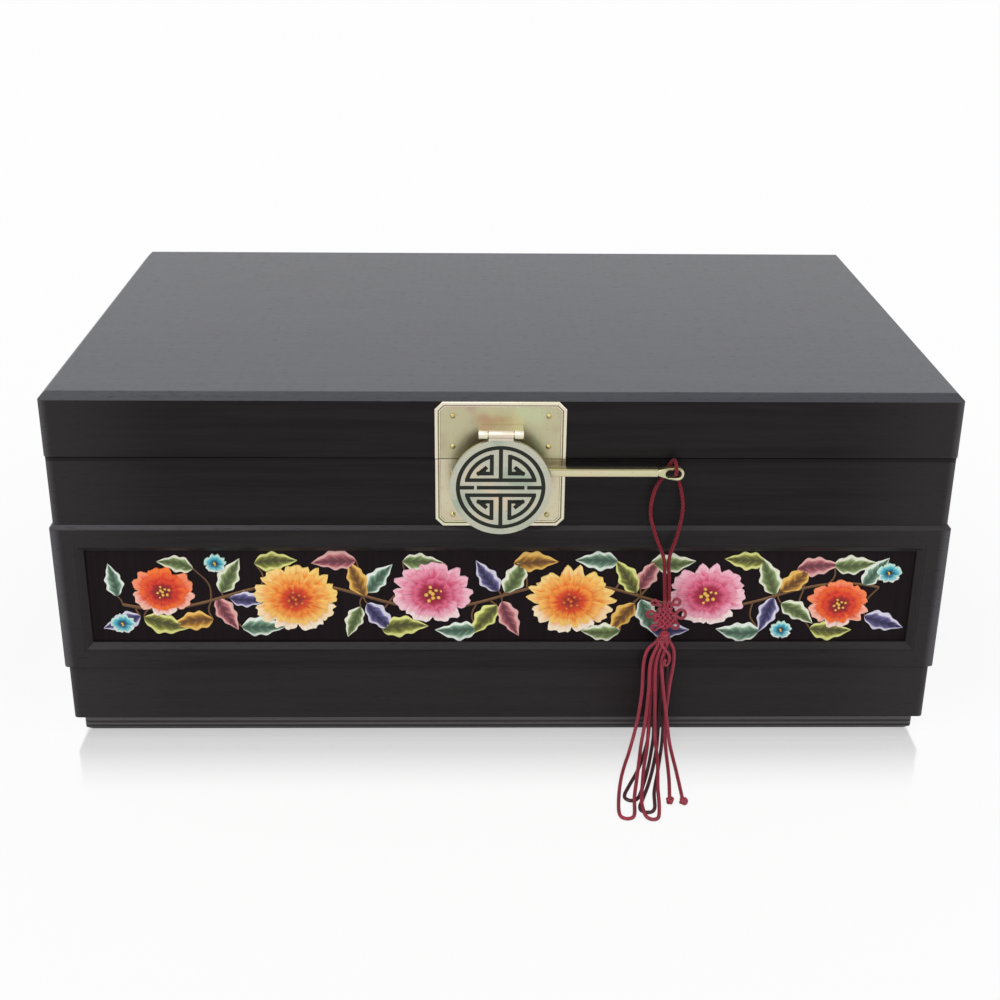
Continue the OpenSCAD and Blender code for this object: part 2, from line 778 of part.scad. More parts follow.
// A shelf from the upper plate that carries two fixed knuckles, clear of the middle knuckle
module hasp_knuckles() {
    plate_front = lid_face - plate_t + plate_sink;
    web_y = hasp_y + barrel_r + knuckle_gap;
    color("#d5cba8") {
        for (x = [-1, 1]) translate([lock_x + x * (barrel_w - fixed_w) / 2, 0, hasp_z]) difference() {
            union() {
                rotate([0, 90, 0]) translate([0, hasp_y, 0])
                    cylinder(r = barrel_r, h = fixed_w, center = true);
                translate([-fixed_w / 2, hasp_y, -barrel_r / 2])
                    cube([fixed_w, plate_front - hasp_y, barrel_r]);
            }
            rotate([0, 90, 0]) translate([0, hasp_y, 0])
                cylinder(r = hasp_pin_r + run_clear, h = fixed_w + 2 * over, center = true);
        }
        translate([lock_x - barrel_w / 2, web_y, hasp_z - barrel_r / 2])
            cube([barrel_w, plate_front - web_y, barrel_r]);
    }
}

module hasp_hinge_pin() {
    color("#d5cba8") translate([lock_x, hasp_y, hasp_z]) rotate([0, 90, 0])
        cylinder(r = hasp_pin_r, h = barrel_w, center = true);
}

// A straight dark line of the ornament, with square ends
module dark_line(from, to, w) {
    run = to - from;
    translate(from) rotate(atan2(run[1], run[0])) translate([-w / 2, -w / 2])
        square([norm(run) + w, w]);
}

module dark_arc(radius, from_deg, to_deg, w) {
    intersection() {
        difference() {
            circle(r = radius + w / 2, $fn = 96);
            circle(r = radius - w / 2, $fn = 96);
        }
        polygon(concat([[0, 0]],
            [for (i = [0:4]) let (turn = from_deg + (to_deg - from_deg) * i / 4)
                disc_r * 2 * [cos(turn), sin(turn)]]));
    }
}

// A quarter of the ornament: curved key with an inward hook
module key_quarter(w) {
    inner = disc_r * key_x_share;
    low = disc_r * key_z_share;
    dark_arc(disc_r * arc_share, arc_from_deg, arc_to_deg, w);
    dark_line([inner, disc_r * arc_share * sin(arc_to_deg)], [inner, low], w);
    dark_line([inner, low], [disc_r * key_out_share, low], w);
    dark_line([disc_r * key_out_share, low], disc_r * key_hook_share, w);
}

// Round fret: ring, uprights, rails, a broken slit and four keys
module fret(w) {
    rail = disc_r * rail_share;
    difference() {
        circle(r = disc_r * ring_share + w / 2, $fn = 96);
        circle(r = disc_r * ring_share - w / 2, $fn = 96);
    }
    for (flip = [-1, 1]) {
        dark_line([0, flip * disc_r * ring_share], [0, flip * rail], w);
        dark_line([-disc_r * rail_reach_share, flip * rail], [disc_r * rail_reach_share, flip * rail], w);
        dark_line([flip * disc_r * ring_share, 0], [flip * disc_r * slit_start_share, 0], w);
    }
    dark_line([-disc_r * slit_share, 0], [disc_r * slit_share, 0], w);
    for (x = [0, 1], z = [0, 1]) mirror([x, 0]) mirror([0, z]) key_quarter(w);
}

module hasp_disc() {
    color("#b9bcae") difference() {
        union() {
            translate([lock_x, disc_back, disc_z]) rotate([90, 0, 0])
                cylinder(r = disc_r, h = disc_t, $fn = 96);
            translate([lock_x, hasp_y, hasp_z]) rotate([0, 90, 0])
                cylinder(r = barrel_r, h = knuckle_w, center = true);
            translate([lock_x - knuckle_w / 2, hasp_y - disc_t / 2, hasp_z - 2 * disc_drop])
                cube([knuckle_w, disc_t, 2 * disc_drop]);
        }
        translate([lock_x, hasp_y, hasp_z]) rotate([0, 90, 0])
            cylinder(r = hasp_pin_r + run_clear, h = knuckle_w + 2 * over, center = true);
        translate([lock_x, disc_back - disc_t + line_depth, disc_z]) rotate([90, 0, 0])
            linear_extrude(height = line_depth + over) fret(line_w + 2 * inlay_clear);
    }
}

module hasp_inlay() {
    color("#1d211b") translate([lock_x, disc_back - disc_t + line_depth, disc_z]) rotate([90, 0, 0])
        linear_extrude(height = line_depth - inlay_clear) fret(line_w);
}

module hasp_lug() {
    color("#b9bcae") pin_guide(lock_x, lug_w, lug_back, disc_back);
}

// Lock pin: a square bar that opens into an eye
module lock_pin() {
    eye_start = eye_x + eye_r - eye_len;
    color("#cdbb84") {
        translate([tip_x, pin_y - pin_side / 2, pin_z - pin_side / 2])
            cube([eye_start - tip_x + pin_side, pin_side, pin_side]);
        translate([0, pin_y + eye_t / 2, 0]) rotate([90, 0, 0]) linear_extrude(height = eye_t)
            difference() {
                union() {
                    translate([eye_x, eye_z]) circle(r = eye_r);
                    polygon([
                        [eye_start, pin_z - pin_side / 2], [eye_start + pin_side, eye_z - eye_r],
                        [eye_x, eye_z - eye_r], [eye_x, eye_z + eye_r],
                        [eye_start + pin_side, eye_z + eye_r], [eye_start, pin_z + pin_side / 2]
                    ]);
                }
                translate([eye_x, eye_z]) circle(r = eye_hole_r);
                translate([eye_x + 2 * eye_hole_r - eye_hole_len, eye_z]) circle(r = eye_hole_r);
                translate([eye_x + 2 * eye_hole_r - eye_hole_len, eye_z - eye_hole_r])
                    square([eye_hole_len - 2 * eye_hole_r, 2 * eye_hole_r]);
            }
    }
}

// Back hinges

case_screw_z = rim_z - leaf_h / 2;
lid_screw_z = lid_z + leaf_h / 2;

module screw_places(z) {
    for (side = [-1, 1], x = [-1, 1])
        translate([side * hinge_x + x * hinge_third, 0, z]) children();
}

module screw_holes(face, z, r) {
    screw_places(z) translate([0, face + over / 2, 0]) rotate([90, 0, 0])
        cylinder(r = r, h = screw_len + over);
}

module hinge_screws(face, z) {
    color("#b89a54") screw_places(z) translate([0, face + leaf_t, 0]) rotate([90, 0, 0]) {
        translate([0, 0, -screw_head_h]) cylinder(r1 = screw_r, r2 = screw_head_r, h = screw_head_h);
        cylinder(r = screw_r, h = screw_len);
    }
}

module barrel(x, w, r) {
    translate([x, hinge_y, hinge_z]) rotate([0, 90, 0]) cylinder(r = r, h = w, center = true);
}

// Middle third of the barrel when middle is true, else the two outer thirds
module knuckles(x, middle, r, gap) {
    if (middle) barrel(x, hinge_third - gap, r);
    else for (side = [-1, 1]) barrel(x + side * hinge_third, hinge_third - gap, r);
}

module hinge_leaves(face, z, screw_z, middle) {
    color("#b89a54") for (side = [-1, 1]) {
        x = side * hinge_x;
        difference() {
            union() {
                difference() {
                    translate([x - hinge_w / 2, face, z]) cube([hinge_w, leaf_t, leaf_h]);
                    knuckles(x, !middle, hinge_barrel_r + hinge_clear, -2 * hinge_clear);
                }
                knuckles(x, middle, hinge_barrel_r, hinge_clear);
            }
            barrel(x, hinge_w + 2 * over, hinge_pin_r + run_clear);
            screw_holes(face + leaf_t + over, screw_z, screw_r + run_clear);
        }
    }
}

module hinge_leaves_case() {
    hinge_leaves(case_d / 2, rim_z - leaf_h, case_screw_z, false);
}

module hinge_leaves_lid() {
    hinge_leaves(box_d / 2, lid_z, lid_screw_z, true);
}

module hinge_pins() {
    color("#b89a54") for (side = [-1, 1]) barrel(side * hinge_x, hinge_w, hinge_pin_r);
}

module hinge_screws_case() {
    hinge_screws(case_d / 2, case_screw_z);
}

module hinge_screws_lid() {
    hinge_screws(box_d / 2, lid_screw_z);
}

// Cord of the tassel

function unit(v) = v / norm(v);

function heading(route, i) =
    unit(route[min(i + 1, len(route) - 1)] - route[max(i - 1, 0)]);

// Side vector at each point, carried along the route without twist
function carried(route, i) = i == 0
    ? unit(cross(heading(route, 0), [0, 1, 0]))
    : let (t = heading(route, i), n = carried(route, i - 1)) unit(n - (n * t) * t);

module cord(route) {
    last = len(route) - 1;
    rings = [for (i = [0:last])
        let (n = carried(route, i), b = cross(heading(route, i), n))
        for (k = [0:cord_sides - 1])
            route[i] + cord_d / 2 * (cos(360 * k / cord_sides) * n + sin(360 * k / cord_sides) * b)];
    sides = [for (i = [0:last - 1], k = [0:cord_sides - 1])
        let (next = (k + 1) % cord_sides, a = i * cord_sides, c = (i + 1) * cord_sides)
        [a + k, a + next, c + next, c + k]];
    near_end = [for (k = [cord_sides - 1:-1:0]) k];
    far_end = [for (k = [0:cord_sides - 1]) last * cord_sides + k];
    color("#8c2436")
        polyhedron(points = rings, faces = concat([near_end], sides, [far_end]), convexity = 8);
}

module hanging_loop() {
    cord(loop_route);
}

module strand_loop_outer() {
    cord(outer_route);
}

module strand_loop_front() {
    cord(front_route);
}

module strand_loop_rear() {
    cord(rear_route);
}

module strand_loop_inner() {
    cord(inner_route);
}

module strand_end_left() {
    cord(left_end_route);
}

module strand_end_right() {
    cord(right_end_route);
}

// Woven knot with small ears
module mystic_knot() {
    color("#8c2436") translate([knot_x, knot_y, knot_z]) rotate([90, 0, 0]) {
        translate([-knot_w / 2, -knot_h / 2, -knot_t / 2]) cube([knot_w, knot_h, knot_t]);
        for (place = ear_places)
            translate([place[0], place[1], -cord_d / 2]) cylinder(r = ear_r, h = cord_d);
    }
}

// Wrapped turns that gather the strands under the knot
module tassel_hitch() {
    color("#8c2436") translate([hitch_x, knot_y, knot_z - knot_h / 2 - hitch_h])
        cylinder(r = hitch_r, h = hitch_h);
}

module end_knot(route) {
    place = route[len(route) - 1];
    color("#8c2436") translate([place[0], place[1] - end_knot_r * cos(30), end_knot_r])
        sphere(r = end_knot_r, $fn = 24);
}

module end_knot_left() {
    end_knot(left_end_route);
}

module end_knot_right() {
    end_knot(right_end_route);
}

plinth();
case_floor();
case_front();
case_back();
case_left();
case_right();
belt_top_rail();
belt_bottom_rail();
belt_stile_left();
belt_stile_right();
belt_left();
belt_right();
belt_back();
window_moulding();
silk_panel();
embroidered_stems();
embroidered_leaves();
embroidered_flowers();
liner_front();
liner_back();
liner_left();
liner_right();
floor_pad();
lock_plate_lower();
plate_nails_lower();
staple_left();
staple_right();
hinge_leaves_case();
hinge_pins();
hinge_screws_case();
lid_top();
lid_front();
lid_back();
lid_left();
lid_right();
lid_lining();
lid_mirror();
lock_plate_upper();
plate_nails_upper();
hasp_knuckles();
hasp_hinge_pin();
hinge_leaves_lid();
hinge_screws_lid();
hasp_disc();
hasp_inlay();
hasp_lug();
lock_pin();
hanging_loop();
mystic_knot();
tassel_hitch();
strand_loop_outer();
strand_loop_front();
strand_loop_rear();
strand_loop_inner();
strand_end_left();
strand_end_right();
end_knot_left();
end_knot_right();
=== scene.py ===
"""Looks of a lidded wooden keepsake box with an embroidered silk panel, a round hasp,
a sliding lock pin and a knotted cord tassel. The frame is in metres and shapes are made in
millimetres, with +Z up and the front facing -Y."""
import random
from math import cos, exp, hypot, pi, radians, sin, sqrt

import bmesh
import bpy
from mathutils import Matrix, Vector


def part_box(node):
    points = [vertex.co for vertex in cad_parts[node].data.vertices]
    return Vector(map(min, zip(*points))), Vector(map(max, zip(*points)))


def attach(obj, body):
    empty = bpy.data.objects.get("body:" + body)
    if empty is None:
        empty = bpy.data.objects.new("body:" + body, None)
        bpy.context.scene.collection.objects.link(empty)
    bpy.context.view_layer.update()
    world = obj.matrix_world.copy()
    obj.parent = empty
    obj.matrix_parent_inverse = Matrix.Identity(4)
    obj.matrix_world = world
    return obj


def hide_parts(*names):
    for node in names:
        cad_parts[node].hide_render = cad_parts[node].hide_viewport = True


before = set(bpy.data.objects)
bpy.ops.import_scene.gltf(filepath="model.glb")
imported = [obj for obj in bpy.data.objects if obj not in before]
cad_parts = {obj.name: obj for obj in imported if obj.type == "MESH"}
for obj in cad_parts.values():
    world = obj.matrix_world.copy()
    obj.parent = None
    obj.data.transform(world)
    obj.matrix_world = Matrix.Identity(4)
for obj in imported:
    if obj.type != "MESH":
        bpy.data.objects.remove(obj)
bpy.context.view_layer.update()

MM = 0.001


def placed(name, data):
    """A new object in the scene."""
    made = bpy.data.objects.new(name, data)
    bpy.context.scene.collection.objects.link(made)
    return made


# Camera

def set_camera(place, yaw, pitch, roll, lens):
    """A camera that looks along +Y, turned by yaw, down by pitch and over by roll, in degrees."""
    yaw, pitch, roll = map(radians, (yaw, pitch, roll))
    forward = Vector((sin(yaw) * cos(pitch), cos(yaw) * cos(pitch), -sin(pitch)))
    level = Vector((cos(yaw), -sin(yaw), 0))
    upright = level.cross(forward)
    right = cos(roll) * level + sin(roll) * upright
    up = -sin(roll) * level + cos(roll) * upright
    camera = placed("camera", bpy.data.cameras.new("camera"))
    turned = Matrix((right, up, -forward)).transposed().to_4x4()
    camera.matrix_world = Matrix.Translation(Vector(place) * MM) @ turned
    camera.data.lens, camera.data.sensor_width = lens, 36
    camera.data.clip_start, camera.data.clip_end = 0.01, 50
    bpy.context.scene.camera = camera


set_camera(place=(-13.13, -667.76, 349.26), yaw=1.2291, pitch=23.3443, roll=0.5606, lens=54.92)


# Shader sums

class Shade:
    """A shader socket. Sums written on it in Python add their Math nodes to its finish."""

    def __init__(self, finish, socket):
        self.finish, self.socket = finish, socket

    def math(self, operation, *others):
        return self.finish.math(operation, self, *others)

    def __add__(self, other):
        return self.math("ADD", other)

    def __sub__(self, other):
        return self.math("SUBTRACT", other)

    def __rsub__(self, other):
        return self.finish.math("SUBTRACT", other, self)

    def __mul__(self, other):
        return self.math("MULTIPLY", other)

    __radd__, __rmul__ = __add__, __mul__

    def sine(self):
        return self.math("SINE")

    def size(self):
        return self.math("ABSOLUTE")

    def larger(self, other):
        return self.math("MAXIMUM", other)

    def eased(self, low, high, to_low=0.0, to_high=1.0):
        """Turns the range low to high into to_low to to_high with soft ends."""
        return self.finish.add("MapRange", {"interpolation_type": "SMOOTHSTEP"},
                               {0: self, 1: low, 2: high, 3: to_low, 4: to_high})


def paint(code):
    """A colour written as in a paint box, #rrggbb, as the linear colour that shaders take."""
    parts = [int(code[i:i + 2], 16) / 255 for i in (1, 3, 5)]
    return (*[p / 12.92 if p <= 0.04045 else ((p + 0.055) / 1.055) ** 2.4 for p in parts], 1)


def cloth(gloss, sheen, rough, tint="#ffffff"):
    """The fixed values of a finish that is silk or velvet."""
    return {"Specular IOR Level": gloss, "Sheen Weight": sheen, "Sheen Roughness": rough,
            "Sheen Tint": paint(tint)}


class Finish:
    """A material or world: the shader with its fixed values, and the nodes that feed it."""

    def __init__(self, name, fixed, shader="Principled BSDF", kept_in=bpy.data.materials):
        self.material = kept_in.new(name)
        self.material.use_nodes = True
        self.tree = self.material.node_tree
        self.shader = self.tree.nodes[shader]
        for socket, value in fixed.items():
            self.shader.inputs[socket].default_value = value

    def add(self, kind, settings, values, output=0):
        """Adds a node: its settings first, then the values or links of its sockets."""
        node = self.tree.nodes.new("ShaderNode" + kind)
        for setting, value in settings.items():
            setattr(node, setting, value)
        for key, value in values.items():
            if isinstance(value, Shade):
                self.tree.links.new(value.socket, node.inputs[key])
            else:
                node.inputs[key].default_value = value
        return Shade(self, node.outputs[output])

    def feed(self, socket, shade):
        self.tree.links.new(shade.socket, self.shader.inputs[socket])

    def math(self, operation, *terms):
        return self.add("Math", {"operation": operation}, dict(enumerate(terms)))

    def mix(self, share, first, second):
        return self.add("Mix", {"data_type": "RGBA"}, {0: share, 6: first, 7: second}, 2)

    def place(self, scale=(1, 1, 1)):
        """The point on the object, in metres, stretched along the axes."""
        point = self.add("TexCoord", {}, {}, "Object")
        return self.add("Mapping", {}, {"Vector": point, "Scale": scale})

    def parts(self, vector):
        """The three numbers of a vector."""
        split = self.add("SeparateXYZ", {}, {0: vector})
        return [Shade(self, socket) for socket in split.socket.node.outputs]

    def vector(self, *numbers):
        return self.add("CombineXYZ", {}, dict(enumerate(numbers)))

    def own(self, name, output="Vector"):
        """A value that the mesh carries at its vertices."""
        return self.add("Attribute", {"attribute_name": name}, {}, output)

    def noise(self, scale, detail, stretch=(1, 1, 1), vector=None, rough=0.5):
        """Noise over the object, stretched along the axes, or over another vector."""
        values = {"Scale": scale, "Detail": detail, "Roughness": rough}
        return self.add("TexNoise", {}, {"Vector": vector or self.place(stretch), **values})

    def banded(self, colour, bands):
        """Paints bands of highlight and shade: draws a colour toward others between heights in millimetres,
        at rest. A band with two places along X fades out between them."""
        wide, _, height = self.parts(self.place())
        for low, high, share, tone, *fade in bands:
            within = height.eased((low - 0.2) * MM, low * MM) * height.eased((high + 0.2) * MM, high * MM)
            if fade:
                within = within * wide.eased(fade[0] * MM, fade[1] * MM, 1, 0)
            colour = self.mix(within * share, colour, paint(tone))
        return colour

    def surface(self, colour, rough, height, depth, strength):
        """Feeds the colour, the roughness and a relief of that depth in metres."""
        bump = self.add("Bump", {}, {"Height": height, "Distance": depth, "Strength": strength})
        for socket, shade in (("Base Color", colour), ("Roughness", rough), ("Normal", bump)):
            self.feed(socket, shade)
        return self.material


# Finishes

def wood(name, along, gloss, coat=0.0, dark="#110d0e", light="#1d1819", bands=(), ends=()):
    """Near black hardwood under satin lacquer, with a fine grain along an axis. Bands paint highlight and
    shade between heights. Ends paint a highlight that grows toward both ends of the box, strongest near the
    rounded corners: from and to millimetres out, share and tone."""
    finish = Finish(name, {"Specular IOR Level": gloss, "Coat Weight": coat, "Coat Roughness": 0.3,
                           "Specular Tint": (0.97, 0.97, 1, 1)})
    run = {"x": (0.03, 1, 1), "y": (1, 0.03, 1), "z": (1, 1, 0.03)}[along]
    growth = finish.noise(240, 3, run)
    fibre = finish.noise(1500, 2, run)
    pores = finish.noise(2600, 1, [s * 3 if s < 1 else s for s in run]).eased(0.62, 0.7)
    tone = growth * 0.65 + fibre * 0.35
    colour = finish.mix(tone.eased(0.34, 0.66), paint(dark), paint(light))
    for inner, outer, share, pale in ends:
        wide = finish.parts(finish.place())[0].size()
        colour = finish.mix(wide.eased(inner * MM, outer * MM) * share, colour, paint(pale))
    colour = finish.mix(pores * 0.35, finish.banded(colour, bands), paint("#0c0808"))
    rough = fibre * 0.14 + growth * 0.1 + pores * 0.12 + 0.24
    return finish.surface(colour, rough, fibre * 0.3 + growth * 0.3 - pores, 0.00004, 0.5)


def metal(name, tone, warm, cool, rough, brush=(1, 1, 0.02), patch=45, metallic=1.0, bands=()):
    """Brushed plated metal, a little warmer and cooler in patches, with painted highlight and shade between
    some heights.
    """
    finish = Finish(name, {"Metallic": metallic})
    patches = finish.noise(patch, 2)
    strokes = finish.noise(4200, 2, brush)
    specks = finish.noise(1400, 3).eased(0.64, 0.74)
    colour = finish.mix(patches.eased(0.3, 0.48), paint(cool), paint(tone))
    colour = finish.banded(finish.mix(patches.eased(0.52, 0.72), colour, paint(warm)), bands)
    colour = finish.mix(specks * 0.35 + strokes * 0.12, colour, paint("#6d6148"))
    return finish.surface(colour, strokes * 0.16 + specks * 0.2 + rough, strokes, 0.00003, 0.35)


def dark_enamel(name):
    """Black green enamel let into the disc's lines, pitted and dull."""
    finish = Finish(name, {"Specular IOR Level": 0.3})
    grains = finish.noise(1800, 3)
    colour = finish.mix(grains, paint("#0b100a"), paint("#1f241a"))
    return finish.surface(colour, grains * 0.3 + 0.45, grains, 0.00006, 0.6)


def silk_cord(name, deep="#300611", fair="#b32a44", gloss=0.55):
    """Braided knotting cord; the mesh carries turns round the cord and millimetres along it."""
    finish = Finish(name, cloth(gloss, 0.1, 0.4))
    turn, along, _ = finish.parts(finish.add("UVMap", {"uv_map": "lay"}, {}))
    left = (turn * (8 * pi) + along * 4.2).sine()
    right = (turn * (8 * pi) - along * 4.2).sine()
    braid = left.larger(right)
    patches = finish.noise(160, 2)
    # Painted shade: the colour deepens in the braid's grooves, with random patches
    colour = finish.mix(braid.eased(-0.3, 0.9) * 0.65 + patches * 0.5, paint(deep), paint(fair))
    return finish.surface(colour, braid * -0.08 + 0.36, braid, 0.00016, 0.8)


THREAD = 0.36


def satin_stitch(name):
    """Silk thread in long and short stitches. The mesh carries millimetres across the threads, the
    way from deep to edge tone, and the three tones."""
    finish = Finish(name, cloth(0.35, 0.2, 0.35))
    across, way, seed = finish.parts(finish.own("lie"))
    uneven = finish.noise(1, 3, vector=finish.vector(across * 1.5, seed * 31, 0), rough=0.6) - 0.5
    way = way + uneven * 0.5
    inner = finish.mix(way.eased(0.08, 0.52), finish.own("deep", "Color"), finish.own("middle", "Color"))
    colour = finish.mix(way.eased(0.5, 0.95), inner, finish.own("edge", "Color"))
    thread = (across * (2 * pi / THREAD)).sine()
    strand = finish.noise(1, 3, vector=finish.vector(across * 2.6, way * 1.2, seed), rough=0.65)
    # Painted shade in the valleys between threads, and random darker strands
    thread_shade_and_strands = (0.5 - thread * 0.5) * 0.12 + strand.eased(0.45, 0.75) * 0.3
    colour = finish.mix(thread_shade_and_strands, colour, (0.05, 0.03, 0.03, 1))
    return finish.surface(colour, strand * 0.2 + 0.34, thread * 0.6 + strand * 0.5, 0.00008, 0.5)


def silk_cloth(name):
    """Dark satin stretched on the panel, with uneven upright threads."""
    finish = Finish(name, cloth(0.12, 0.06, 0.3, "#8a5a68"))
    streaks = finish.noise(900, 3, (1, 1, 0.03))
    wefts = finish.noise(2400, 1, (0.05, 1, 1))
    clouds = finish.noise(40, 2)
    share = streaks.eased(0.35, 0.75) * 0.6 + wefts * 0.2 + clouds * 0.25
    colour = finish.mix(share, paint("#070305"), paint("#1b0d13"))
    return finish.surface(colour, streaks * 0.2 + 0.42, streaks * 0.6 + wefts * 0.4, 0.00005, 0.5)


def velvet(name):
    """Short pile cloth with brushed patches."""
    finish = Finish(name, cloth(0.1, 0.8, 0.35, "#c06a70"))
    brushed = finish.noise(60, 3)
    pile = finish.noise(3500, 2)
    colour = finish.mix(brushed * 0.7 + pile * 0.4, paint("#3a0a12"), paint("#7a1a28"))
    return finish.surface(colour, pile * 0.2 + 0.75, pile + brushed * 0.4, 0.00015, 0.6)


def plywood(name):
    """Plain birch board for what is covered up."""
    finish = Finish(name, {"Specular IOR Level": 0.3})
    grain = finish.noise(320, 3, (0.05, 1, 1))
    colour = finish.mix(grain, paint("#8a6a45"), paint("#c3a072"))
    return finish.surface(colour, grain * 0.2 + 0.55, grain, 0.00008, 0.5)


def looking_glass(name):
    """Silvered glass with faint wiping marks."""
    finish = Finish(name, {"Metallic": 1.0, "Coat Weight": 0.6, "Coat Roughness": 0.02})
    wiped = finish.noise(60, 3, (1, 0.2, 1))
    finish.feed("Base Color", finish.mix(wiped, paint("#c9d3d4"), paint("#dfe6e4")))
    finish.feed("Roughness", wiped.eased(0.45, 0.75, 0.02, 0.06))
    return finish.material


# Tone bands of painted highlight and shade: low and high in millimetres, share, tone and the places it
# fades between
# Painted light and shade: the wood below the belt is paler as a painted reflection of the bright floor, and
# a dark painted shadow runs along the seam under the lid
CASE_BANDS = ((0, 34, 0.5, "#302c2d"), (125.3, 127, 0.65, "#060405"))
# Painted highlight on the belt's rounded lip, brighter toward the left end
LIP_BAND = ((96.1, 97.9, 0.8, "#312d30"), (96.1, 97.9, 0.8, "#454144", -190, -30))
# Painted light and shade across the plinth's profile: a dark shaded foot, light highlight lines above it
# and a dark line between them
FOOT_BANDS = ((0, 3, 0.95, "#020202"), (3.6, 4.1, 0.85, "#555253"), (4.5, 5.1, 0.8, "#151313"),
              (5.6, 7.6, 0.7, "#5c585a"))
# Painted shade: the lid top is darker below its top face, on its chamfer and sides
TOP_BANDS = ((140, 153.2, 0.4, "#242426"),)
# Painted highlight: the front grows paler toward both ends of the box, with a light strip near the rounded
# corners
ENDS_PAINTED_HIGHLIGHT = ((125, 182, 1.0, "#282526"), (176, 180, 0.85, "#555356"))
front_wood = wood("front_wood", "x", 0.15, bands=CASE_BANDS, ends=ENDS_PAINTED_HIGHLIGHT)
side_wood = wood("side_wood", "y", 0.15, bands=CASE_BANDS)
belt_wood = wood("belt_wood", "x", 0.18, 0.0, "#151112", "#231e1f", LIP_BAND, ENDS_PAINTED_HIGHLIGHT)
belt_side_wood = wood("belt_side_wood", "y", 0.18, 0.0, "#151112", "#231e1f", LIP_BAND)
# Painted light: the plinth's paler tones stand in for the bright floor reflected in its lacquer
foot_wood_painted_light = wood("foot_wood_painted_light", "x", 0.4, 0.2, "#282425", "#383334", FOOT_BANDS)
# Painted reflection: the lid top is the same near black wood, and its grey tones stand in for the bright
# room mirrored in its lacquer
top_wood_painted_sheen = wood("top_wood_painted_sheen", "x", 0.18, 0.09, "#48494f", "#515258", TOP_BANDS)
# Painted light: the lower plate, below the seam, is drawn paler than the upper plate
plate_metal = metal("plate_metal", "#c9c3a0", "#b89c88", "#cbd0a8", 0.26, (1, 1, 0.02), 60,
                    bands=((98, 126.9, 0.5, "#ece2c6"),))
# Painted highlight: a paler copy of the plate metal for the rounded rims and beads, the hinge knuckles and
# pin
rim_metal_painted_highlight = metal("rim_metal_painted_highlight", "#f1e9d2", "#f0e0d0", "#eaecca", 0.2)
# Painted shade: a darker copy of the plate metal for the sunk grooves
groove_metal_painted_shade = metal("groove_metal_painted_shade", "#aba080", "#ab957e", "#9ea07c", 0.4)
# Painted highlight: the disc's neck and middle knuckle, along the hinge barrel, are drawn pale cream
disc_metal = metal("disc_metal", "#c8c8b6", "#ddccb4", "#aeb9a6", 0.28, (0.02, 1, 1), 75, 0.92,
                   ((138.5, 143, 0.9, "#eadcc6"),))
# Painted reflection: the top face of the bar and eye is drawn darker olive, standing in for the dark lid
# front mirrored in it
pin_metal = metal("pin_metal", "#dbd5b0", "#dfd0b2", "#c6cc9a", 0.27, (0.02, 1, 1), 45, 0.94,
                  ((124.7, 125.6, 0.85, "#98916a"),))
nail_metal = metal("nail_metal", "#c8bb86", "#a88850", "#cfcf9c", 0.24)
hinge_metal = metal("hinge_metal", "#b49a5c", "#b08848", "#9c9a5c", 0.3)
line_enamel = dark_enamel("line_enamel")
cord_silk = silk_cord("cord_silk")
# Painted shade: a darker copy of the same cord, for the rear and inner strands lying under the others
cord_silk_painted_shade = silk_cord("cord_silk_painted_shade", "#1c0a0c", "#55202a")
# Painted shade: a darker, less glossy copy of the same cord, for the hanging loop
loop_cord_silk_painted_shade = silk_cord("loop_cord_silk_painted_shade", "#200108", "#8c0f26", 0.25)
stitches = satin_stitch("stitches")
panel_silk = silk_cloth("panel_silk")
lining_velvet = velvet("lining_velvet")
hidden_board = plywood("hidden_board")
mirror_glass = looking_glass("mirror_glass")


# Shared shaping

def piece_from(name, bm, finish, body, stands_for=(), sharp=40):
    """Makes a shaped bmesh, in millimetres, a piece that rides on its body."""
    bmesh.ops.recalc_face_normals(bm, faces=bm.faces)
    bmesh.ops.transform(bm, matrix=Matrix.Scale(MM, 4), verts=bm.verts)
    mesh = bpy.data.meshes.new(name)
    bm.to_mesh(mesh)
    bm.free()
    mesh.shade_smooth()
    mesh.set_sharp_from_angle(angle=radians(sharp))
    mesh.materials.append(finish)
    piece = placed(name, mesh)
    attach(piece, body)
    if stands_for:
        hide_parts(*stands_for)
    return piece


def dress(nodes, finish, arris=0.0):
    """Gives CAD nodes their finish, and softens their edges by a small bevel in millimetres."""
    for name in nodes.split():
        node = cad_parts[name]
        node.data.materials.clear()
        node.data.materials.append(finish)
        if arris:
            weld = node.modifiers.new("weld", "WELD")
            weld.merge_threshold = 1e-6
            bevel = node.modifiers.new("arris", "BEVEL")
            bevel.width, bevel.segments = arris * MM, 2
            bevel.limit_method, bevel.angle_limit = "ANGLE", radians(30)
            bevel.harden_normals = True


def span(node):
    """The low and the high corner of a CAD node, in millimetres."""
    return [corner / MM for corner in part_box(node)]


def points(geom):
    """The vertices among what an operator made."""
    return [v for v in geom if isinstance(v, bmesh.types.BMVert)]


def drawn_out(bm, faces, step):
    """Extrudes faces by a step."""
    made = bmesh.ops.extrude_face_region(bm, geom=list(faces))["geom"]
    bmesh.ops.translate(bm, verts=points(made), vec=step)
    return made


def capped(bm, geom):
    """Fills the holes that the open edges leave."""
    rims = [e for e in geom if isinstance(e, bmesh.types.BMEdge) and e.is_boundary]
    bmesh.ops.holes_fill(bm, edges=rims, sides=0)


def rounded(bm, edges, offset, segments=3):
    bmesh.ops.bevel(bm, geom=list(edges), offset=offset, offset_type="OFFSET", segments=segments,
                    profile=0.5, affect="EDGES", material=-1)


def grid(bm, across, along, size=1):
    return bmesh.ops.create_grid(bm, x_segments=across, y_segments=along, size=size)["verts"]


